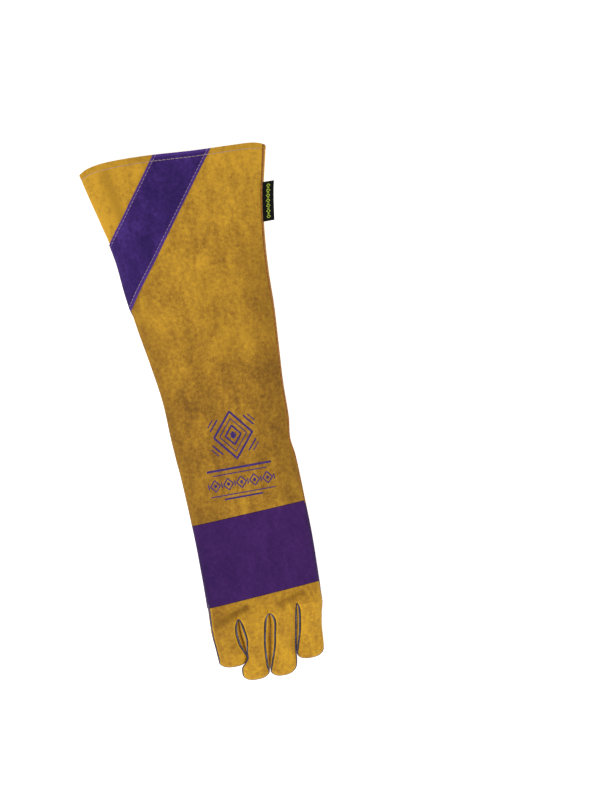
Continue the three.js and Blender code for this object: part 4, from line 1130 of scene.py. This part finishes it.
def thumb(material):
    """The thumb: a soft tube pressed flat under the palm, open to it at its root."""
    along = thumb_stops(64)[:, None]
    right, left = thumb_limits(along, 0)
    kernel = np.ones(5) / 5
    right, left = (np.convolve(np.pad(limit, 2, mode="edge"), kernel, "valid") for limit in (right, left))
    share = np.linspace(0, 1, 57)[None, :]
    angles = left[:, None] + (right - left)[:, None] * share
    sheets = []
    for grow in (0, -WALL):
        points = thumb_points(along, angles, grow)
        flat = points.reshape(-1, 3)
        rough = [0.5 * noise.noise(Vector(p / 21)) + 0.2 * noise.noise(Vector(p / 8)) for p in flat]
        rise = np.reshape(rough, points.shape[:-1]) * smooth((points[..., 2] - 1) / 5)
        points[..., 2] += rise
        off_thenar = smooth(-inside_distance(flat[:, :2], thenar_outline())[0] / 3).reshape(rise.shape)
        ceiling = palm_level(points) - GAP - (PATCH + GAP) * off_thenar + grow
        points[..., 2] = np.clip(np.minimum(points[..., 2], ceiling), ON_FLOOR - grow, None)
        sheets.append(points)
    marks = leather_marks(0 * angles)
    make_mesh("thumb_leather", *sheet_shell(*sheets), material, ["thumb"], "ochre_suede", marks)


def label(material, mark_material):
    """The woven label in the thumb-side seam, with a plain pattern of its own."""
    y = np.linspace(HEM_Y - LABEL_FROM_HEM, HEM_Y - LABEL_FROM_HEM - LABEL_LENGTH, 40)
    share = np.concatenate([[0, 0.01, 0.03], np.linspace(0.07, 0.93, 16), [0.96, 0.985, 1]])
    section = body_section(station_at(y))
    seam = loop_point(section, section["right_seam"], -WELT_PROUD - 0.15)[:, 0]

    def at(row, across, rise):
        """Places on the label, from shares along it and across it."""
        start = np.stack([np.interp(row, np.linspace(0, 1, len(y)), seam[:, k]) for k in range(3)], -1)
        wave = 0.35 * np.sin(2.2 * math.pi * row + 0.6) * across**2
        start[..., 0] = start[..., 0] + across * LABEL_REACH
        start[..., 2] = start[..., 2] + rise + wave - 0.9 * across**2
        return start

    rows, columns = np.meshgrid(np.linspace(0, 1, len(y)), share, indexing="ij")
    round_off = 0.32 * np.sqrt(1 - np.clip((columns - 0.94) / 0.06, 0, 1) ** 2)
    weave = sheet_shell(at(rows, columns, round_off), at(rows, columns, -round_off))
    make_mesh("side_label_weave", *weave, material, ["side_label"], "label", sharp=50)
    strokes = []
    for k in range(LABEL_MARKS):
        middle = LABEL_START + LABEL_PITCH * k
        strokes.append(diamond(middle, 0.5, 0.04, 0.16))
        if k:
            between = middle - LABEL_PITCH / 2
            strokes.append([(between, 0.4), (between, 0.6)])
    lines = []
    for stroke in strokes:
        line = resample(np.array(stroke) * (LABEL_LENGTH, LABEL_REACH), 0.7)
        sides = [side / (LABEL_LENGTH, LABEL_REACH) for side in offset_path(line, 0.36)]
        sheets = [np.stack([at(*side.T, rise) for side in sides], 1) for rise in (0.42, 0.3)]
        lines.append(sheet_shell(*sheets))
    make_mesh("side_label_pattern", *joined(lines), mark_material, (), "label")


def resample(path, step):
    """A path's points, evenly spaced, with its corners kept."""
    out = []
    for a, b in zip(path[:-1], path[1:]):
        count = max(int(round(np.linalg.norm(b - a) / step)), 1)
        out += [a + (b - a) * k / count for k in range(count)]
    return np.array(out + [path[-1]])


def offset_path(path, half):
    """The two lines beside a path in plan."""
    along = np.gradient(path, axis=0)
    along /= np.maximum(np.linalg.norm(along, axis=1, keepdims=True), 1e-9)
    side = np.stack([-along[:, 1], along[:, 0]], -1) * half
    return path + side, path - side


def ink(name, strokes, material):
    """Printed lines on the sleeve's back, each a path in plan with its width."""
    lines = []
    for path, width in strokes:
        line = resample(np.asarray(path, float), 1.1)
        left, right = offset_path(line, width / 2)
        across = np.stack([left, line, right], 1)
        section, angles = on_body(across[..., 0], across[..., 1])
        height = relief(section, angles)
        sheets = [loop_point(section, angles, -height - rise) for rise in (0.09, 0.02)]
        lines.append(sheet_shell(*(sheet.reshape(len(line), 3, 3) for sheet in sheets)))
    make_mesh(name, *joined(lines), material, (), "purple_suede")


def diamond(x, y, half_width, half_height):
    corners = ((-1, 0), (0, 1), (1, 0), (0, -1), (-1, 0))
    return [(x + across * half_width, y + up * half_height) for across, up in corners]


def print_strokes():
    """A plain pattern: a lozenge with rays over a row of small lozenges between bars."""
    x, y = PRINT_MIDDLE
    strokes = [(diamond(x, y, half_width, half_height), line) for half_width, half_height, line in LOZENGES]
    strokes += [([(x - half, y + height), (x + half, y + height)], line) for height, half, line in BARS]
    for side in (-1, 1):
        for rise in (-1, 1):
            for x_a, y_a, x_b, y_b, line in RAYS:
                strokes.append(([(x + side * x_a, y + rise * y_a), (x + side * x_b, y + rise * y_b)], line))
    for k in range(-2, 3):
        strokes.append((diamond(x + SMALL_PITCH * k, y + SMALL_ROW, 5.6, 6.6), 1.3))
        strokes.append((diamond(x + SMALL_PITCH * k, y + SMALL_ROW, 1.1, 1.3), 2.0))
    for k in range(-3, 3):
        between = x + SMALL_PITCH * (k + 0.5)
        strokes.append(([(between, y + SMALL_ROW - 3), (between, y + SMALL_ROW + 3)], 1.3))
    return strokes


def stitches(name, paths, material):
    """Rows of stitches, each a short rounded thread that dips into the leather at both ends."""
    threads = []
    ring = np.linspace(0, 2 * math.pi, 7)[:-1]
    places = THREAD["along"]
    fat, rise = (THREAD[key][:, None] * STITCH_RADIUS for key in ("fat", "rise"))
    for points, out in paths:
        steps = np.linalg.norm(np.diff(points, axis=0), axis=1)
        run = np.concatenate([[0], np.cumsum(steps)])
        count = int(run[-1] // (STITCH_LENGTH + STITCH_GAP))
        for k in range(count):
            at = (k + 0.5) * run[-1] / count + places * STITCH_LENGTH
            centre = np.stack([np.interp(at, run, points[:, j]) for j in range(3)], -1)
            up = unit(np.stack([np.interp(at, run, out[:, j]) for j in range(3)], -1))
            side = unit(np.cross(centre[-1] - centre[0], up))
            centre = centre + side * 0.16 * np.sin(places * 3)[:, None] + up * rise
            centre[:, 2] = np.maximum(centre[:, 2], STITCH_RADIUS + ON_FLOOR)
            rings = [centre + (side * math.cos(a) + up * math.sin(a)) * fat for a in ring]
            threads.append(tube(np.stack(rings, 1)))
    make_mesh(name, *joined(threads), material, (), "label")


def cross_path(y, edges_of, count, rise=0.0):
    """A stitch row straight across the back, where it lies on the stripe too, or across the palm side."""
    section = body_section(station_at(np.full(count, y)))
    start, end = edges_of(section, 4)
    angles = start + (end - start) * np.linspace(0, 1, count)[:, None]
    if edges_of is back_edges:
        plain = loop_point(section, angles)[:, 0]
        rise = overlay_height(plain[:, 0], plain[:, 1])[:, None]
    points, above = raised(section, angles, rise - THREAD_SUNK)
    return points, above - points


def stripe_path(edge):
    """A stitch row beside one of the stripe's long edges."""
    y = np.linspace(HEM_Y - 1, HEM_Y - SLEEVE_LENGTH * STRIPE_END, 260)
    inset = (STRIPE_STITCH if edge else -STRIPE_STITCH) / math.cos(STRIPE_ANGLE * DEG)
    x = stripe_line(y, edge) + inset
    section, angles = on_body(x, y)
    plan = loop_point(section, angles)[:, 0]
    on_glove = (x > (section["centre"] - section["half"])[:, 0] + 0.4) & (y < plan[:, 1] + 0.6)
    return path_on_overlay(x[on_glove], y[on_glove], True)


def wrist_patch_path():
    """A stitch row inside the D-shaped patch's curved edge."""
    x, y = wrist_outline()
    middle = np.array((HAND_SHIFT + WRIST_PATCH_SHIFT, WRIST_Y))
    plan = np.stack([x, y], -1)[1:-1]
    along = unit(np.gradient(plan, axis=0))
    normal = np.stack([along[:, 1], -along[:, 0]], -1)
    normal *= -np.sign(((plan - middle) * normal).sum(1))[:, None]
    plan = plan + normal * PATCH_STITCH
    plan = plan[plan[:, 1] > WRIST_Y + 5]
    return path_on_overlay(plan[:, 0], plan[:, 1], False)


def thenar_path():
    """A stitch row on the palm patch beside the thumb's ball."""
    corners = thenar_outline()[:-1]
    plan = resample(corners, 1.5)
    smoothed = plan.copy()
    for _ in range(12):
        smoothed[1:-1] = (smoothed[:-2] + smoothed[2:]) / 2
    left, right = offset_path(smoothed, PATCH_STITCH)
    outside = left if inside_distance(left[20:21], thenar_outline())[0][0] < 0 else right
    section, _ = on_body(outside[:, 0], outside[:, 1], False)
    room = section["half"][:, 0] - np.abs(outside[:, 0] - section["centre"][:, 0])
    keep = (outside[:, 1] < WRIST_Y - 4) & (room > 4)
    return path_on_overlay(outside[keep, 0], outside[keep, 1], False)


class Shader:
    """A material's nodes, made by kind, settings and inputs."""

    def __init__(self, name):
        self.material = bpy.data.materials.new(name)
        self.material.use_nodes = True
        self.tree = self.material.node_tree
        self.surface = self.tree.nodes["Principled BSDF"]
        self.place = self.node("ShaderNodeTexCoord").outputs["Object"]

    def node(self, kind, settings=None, **inputs):
        made = self.tree.nodes.new(kind)
        for key, value in (settings or {}).items():
            setattr(made, key, value)
        for key, value in inputs.items():
            self.feed(made.inputs[key], value)
        return made

    def feed(self, socket, value):
        if isinstance(value, bpy.types.NodeSocket):
            self.tree.links.new(value, socket)
        else:
            socket.default_value = value

    def noise(self, scale, detail=3.0, roughness=0.55, distortion=0.0, stretch=(1, 1, 1)):
        place = self.node("ShaderNodeMapping", None, Vector=self.place, Scale=stretch).outputs["Vector"]
        inputs = {"Vector": place, "Scale": scale, "Detail": detail, "Roughness": roughness}
        return self.node("ShaderNodeTexNoise", None, Distortion=distortion, **inputs).outputs["Fac"]

    def math(self, operation, a, b=0.0, clamp=False):
        made = self.node("ShaderNodeMath", {"operation": operation, "use_clamp": clamp})
        self.feed(made.inputs[0], a)
        self.feed(made.inputs[1], b)
        return made.outputs[0]

    def ramp(self, value, *stops):
        made = self.node("ShaderNodeValToRGB", None, Fac=value)
        elements = made.color_ramp.elements
        while len(elements) < len(stops):
            elements.new(0.5)
        for element, (at, color) in zip(elements, stops):
            element.position = at
            element.color = (*color, 1)
        return made.outputs["Color"]

    def weighted(self, *terms):
        """The sum of values that are each given after their share."""
        total = None
        for share, value in terms:
            part = self.math("MULTIPLY", value, share)
            total = part if total is None else self.math("ADD", total, part)
        return total

    def along(self):
        return self.node("ShaderNodeSeparateXYZ", None, Vector=self.place).outputs["Y"]

    def blend(self, share, a, b):
        made = self.node("ShaderNodeMix", {"data_type": "RGBA"})
        self.feed(made.inputs["Factor"], share)
        for socket, value in ((made.inputs[6], a), (made.inputs[7], b)):
            self.feed(socket, value if isinstance(value, bpy.types.NodeSocket) else (*value, 1))
        return made.outputs[2]

    def mark(self, name):
        return self.node("ShaderNodeAttribute", {"attribute_name": name}).outputs["Fac"]

    def finish(self, color, roughness, bump, depth, strength=1.0, **plain):
        self.feed(self.surface.inputs["Base Color"], color)
        self.feed(self.surface.inputs["Roughness"], roughness)
        made = self.node("ShaderNodeBump", None, Height=bump, Distance=depth, Strength=strength)
        self.feed(self.surface.inputs["Normal"], made.outputs["Normal"])
        for key, value in plain.items():
            self.surface.inputs[key.replace("_", " ")].default_value = value
        return self.material


def rgb(code):
    """A linear colour from a hex code."""
    values = [int(code[i:i + 2], 16) / 255 for i in (0, 2, 4)]
    return tuple(v / 12.92 if v <= 0.04045 else ((v + 0.055) / 1.055) ** 2.4 for v in values)


def suede(name, codes, spread, nap, lighter_hem):
    """Napped split leather: broad blotches, streaks and mottling, fibres, rims lighter for wear and a
    painted highlight, and painted shade in folds and shaded places.
    """
    s = Shader(name)
    *tones, rim, crease = (rgb(code) for code in codes.split())
    broad = s.noise(11, 3, 0.55, 0.4)
    streak = s.noise(75, 4, 0.6, 0.4, (1, 0.4, 1))
    mottle = s.noise(230, 4, 0.65)
    fibre = s.noise(900, 3, 0.6, 0.2, (1, 0.45, 1))
    tone = s.weighted((0.24, broad), (0.28, streak), (0.32, mottle), (0.16, fibre))
    if lighter_hem:
        slope = s.math("MULTIPLY", s.math("SUBTRACT", s.along(), 0.11), lighter_hem)
        tone = s.math("ADD", tone, s.math("MAXIMUM", slope, -0.03))
    places = (0.5 - spread, 0.5 - 0.35 * spread, 0.5 + 0.25 * spread, 0.5 + spread)
    color = s.ramp(tone, *zip(places, tones))
    # Painted shade: the shade mark darkens the colour towards the shade tone
    color = s.blend(s.math("MULTIPLY", s.mark("crease"), 0.75, True), color, crease)
    # Wear and painted highlight: the rim mark lightens the colour towards the rim tone
    color = s.blend(s.math("MULTIPLY", s.mark("edge"), 0.75, True), color, rim)
    height = s.weighted((0.5, fibre), (0.8, mottle), (0.9, streak))
    rough = s.math("ADD", s.math("MULTIPLY", mottle, 0.12), 0.84)
    sheen = {"Sheen_Weight": 0.12 * nap, "Sheen_Roughness": 0.5, "Sheen_Tint": (*rim, 1)}
    return s.finish(color, rough, height, 0.0006 * nap, 0.8, Specular_IOR_Level=0.15, **sheen)


def thread_material(name, dark, light):
    """Twisted thread."""
    s = Shader(name)
    twist = s.noise(1500, 2, 0.5, 0.0, (1, 1, 0.4))
    color = s.ramp(twist, (0.35, rgb(dark)), (0.65, rgb(light)))
    return s.finish(color, 0.75, twist, 0.0002, Sheen_Weight=0.1)


def welt_material():
    """The slate leather of the finger welts."""
    s = Shader("welt_leather")
    grain = s.noise(420, 4, 0.6)
    tone = s.weighted((0.5, grain), (0.5, s.noise(70, 3, 0.6)))
    color = s.ramp(tone, (0.38, rgb("2C2842")), (0.5, rgb("46425C")), (0.63, rgb("66647A")))
    return s.finish(color, 0.8, grain, 0.0003, Sheen_Weight=0.1)


def side_welt_material():
    """The side seams' welt: brown along the sleeve, purple along the band and slate at the fingers."""
    s = Shader("side_welt_leather")
    grain = s.noise(420, 4, 0.6)
    colors = []
    for dark, light in SIDE_WELT_TONES:
        colors.append(s.ramp(grain, (0.38, rgb(dark)), (0.62, rgb(light))))
    for k, y in enumerate((WRIST_Y, KNUCKLE_Y)):
        edge = s.math("SUBTRACT", (y + ORIGIN[1]) * MM, s.along())
        beyond = s.math("MULTIPLY", edge, 2000, True)
        colors[0] = s.blend(beyond, colors[0], colors[k + 1])
    return s.finish(colors[0], 0.8, grain, 0.0003, Sheen_Weight=0.1)


def ink_material():
    """Purple ink that the nap shows through."""
    s = Shader("printed_ink")
    nap = s.noise(700, 4, 0.7)
    worn = s.weighted((0.6, nap), (0.4, s.noise(120, 4, 0.6)))
    color = s.ramp(worn, (0.42, rgb("2E1266")), (0.56, rgb("3C1F70")), (0.66, rgb("7A5A4A")))
    return s.finish(color, 0.85, nap, 0.0003, 0.6, Sheen_Weight=0.15)


def label_material():
    """The label's black weave."""
    s = Shader("label_weave")
    place = s.node("ShaderNodeSeparateXYZ", None, Vector=s.place)
    warp = s.math("SINE", s.math("MULTIPLY", place.outputs["Y"], 5800))
    weft = s.math("SINE", s.math("MULTIPLY", place.outputs["X"], 7200))
    weave = s.math("MULTIPLY", warp, weft)
    tone = s.math("ADD", s.math("MULTIPLY", weave, 0.12), s.noise(240, 3))
    color = s.ramp(tone, (0.3, rgb("020202")), (0.75, rgb("111112")))
    return s.finish(color, 0.8, weave, 0.00012, 0.8, Specular_IOR_Level=0.15)


def mark_material():
    """The label's green thread."""
    s = Shader("label_thread")
    weave = s.noise(2200, 2)
    color = s.ramp(weave, (0.35, rgb("8FA51A")), (0.65, rgb("C4DC3A")))
    return s.finish(color, 0.6, weave, 0.0001, Sheen_Weight=0.2)


def floor_material():
    """The floor, which shines a little so that it stays white under the glove."""
    s = Shader("floor_paint")
    grain = s.noise(9, 2)
    color = s.ramp(grain, (0.3, (0.88, 0.88, 0.885)), (0.7, (0.92, 0.92, 0.92)))
    s.surface.inputs["Emission Color"].default_value = (1, 1, 1, 1)
    s.surface.inputs["Emission Strength"].default_value = 0.7
    return s.finish(color, 0.9, grain, 0.0001, 0.1, Specular_IOR_Level=0.1)


def make_camera():
    """Straight above the photograph's middle, turned as the glove lies in it."""
    data = bpy.data.cameras.new("camera")
    data.lens = 200
    data.sensor_fit = "VERTICAL"
    data.sensor_height = 36
    data.clip_end = 40
    camera = bpy.data.objects.new("camera", data)
    bpy.context.scene.collection.objects.link(camera)
    height = FRAME_HEIGHT * data.lens / data.sensor_height
    x, y = VIEW_MIDDLE
    camera.location = ((x + ORIGIN[0]) * MM, (y + ORIGIN[1]) * MM, (height + VIEW_LEVEL) * MM)
    camera.rotation_euler = (0, 0, VIEW_TURN * DEG)
    bpy.context.scene.camera = camera


def make_light(name, place, size, energy):
    """A round light that shines on the glove."""
    data = bpy.data.lights.new(name, "AREA")
    data.shape = "DISK"
    data.size = size
    data.energy = energy
    light = bpy.data.objects.new(name, data)
    bpy.context.scene.collection.objects.link(light)
    light.location = place
    light.rotation_euler = (Vector((0, 0, 0)) - Vector(place)).to_track_quat("-Z", "Y").to_euler()


def make_stage():
    """A pale floor, white light from all round, and two lamps over the glove."""
    mesh = bpy.data.meshes.new("floor")
    half = 6.0
    corners = [(-half, -half, 0), (half, -half, 0), (half, half, 0), (-half, half, 0)]
    mesh.from_pydata(corners, [], [(0, 1, 2, 3)])
    floor = bpy.data.objects.new("floor", mesh)
    bpy.context.scene.collection.objects.link(floor)
    mesh.materials.append(floor_material())
    world = bpy.data.worlds.new("studio")
    bpy.context.scene.world = world
    world.use_nodes = True
    world.node_tree.nodes["Background"].inputs["Color"].default_value = (1, 1, 1, 1)
    world.node_tree.nodes["Background"].inputs["Strength"].default_value = 0.5
    make_light("key", (-1.0, -0.5, 2.7), 1.3, 41)
    make_light("fill", (1.2, -0.6, 2.6), 2.0, 14)
    bpy.context.scene.view_settings.view_transform = "Standard"


def make_glove():
    """All pieces: panels and welts, then patches, palm and thumb, the label, the print and the stitches."""
    ochre, fingers, band, upper = (suede(*row) for row in SUEDES)
    welt = welt_material()
    side = side_welt_material()
    thread = thread_material("stitch_thread", "A88A84", "CDB0A0")
    stripe_thread = thread_material("stripe_thread", "957A92", "B99CAA")

    cut = SEAM_SLIT / 2
    panels = (
        ("sleeve_back", HEM_Y, WRIST_Y + cut, 170, back_edges, 84, ochre, "ochre_suede", sleeve_highlight_and_shade),
        ("sleeve_front", HEM_Y, WRIST_Y + SEAM_HALF, 150, under_edges, 74, ochre, "ochre_suede", None),
        ("back_band", WRIST_Y - cut, KNUCKLE_Y + cut, 44, back_edges, 70, band, "purple_suede", band_side_shade),
    )
    for name, start, *shape, material, slot, painted_light in panels:
        *mesh, marks = body_panel(start, *shape, start == HEM_Y, painted_light)
        make_mesh(name + "_leather", *mesh, material, [name], slot, marks)
    seam_backing("wrist_seam_allowance", WRIST_Y, band)
    seam_backing("knuckle_seam_allowance", KNUCKLE_Y, band)
    finger_backs(fingers)
    for finger in FINGERS:
        finger_front(finger, fingers)
        finger_welt(finger, welt)
    side_welt("thumb_side_welt", "right_seam", "index", side)
    side_welt("little_side_welt", "left_seam", "little", side)
    wrist_welt(band)
    finger_base_welt(band, fingers)
    stripe(upper)
    wrist_patch(upper)
    palm(fingers)
    palm_patch(band)
    thumb(fingers)
    label(label_material(), mark_material())
    ink("sleeve_print", print_strokes(), ink_material())
    hem_rows = [cross_path(HEM_Y - HEM_STITCH, edges_of, 160) for edges_of in (back_edges, under_edges)]
    stitches("hem_stitches", hem_rows, thread)
    stitches("stripe_stitches", [stripe_path(0), stripe_path(1)], stripe_thread)
    knuckle_row = cross_path(KNUCKLE_Y + GAP + PATCH_STITCH, under_edges, 120, PATCH + GAP)
    patch_rows = [wrist_patch_path(), thenar_path(), knuckle_row]
    stitches("patch_stitches", patch_rows, thread)


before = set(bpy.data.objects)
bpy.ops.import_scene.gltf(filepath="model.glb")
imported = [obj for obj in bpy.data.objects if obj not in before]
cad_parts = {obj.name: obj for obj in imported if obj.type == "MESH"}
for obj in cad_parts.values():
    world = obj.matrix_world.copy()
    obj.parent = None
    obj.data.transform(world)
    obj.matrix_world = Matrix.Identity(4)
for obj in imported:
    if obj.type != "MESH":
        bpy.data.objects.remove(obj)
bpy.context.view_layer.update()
make_camera()
make_stage()
make_glove()
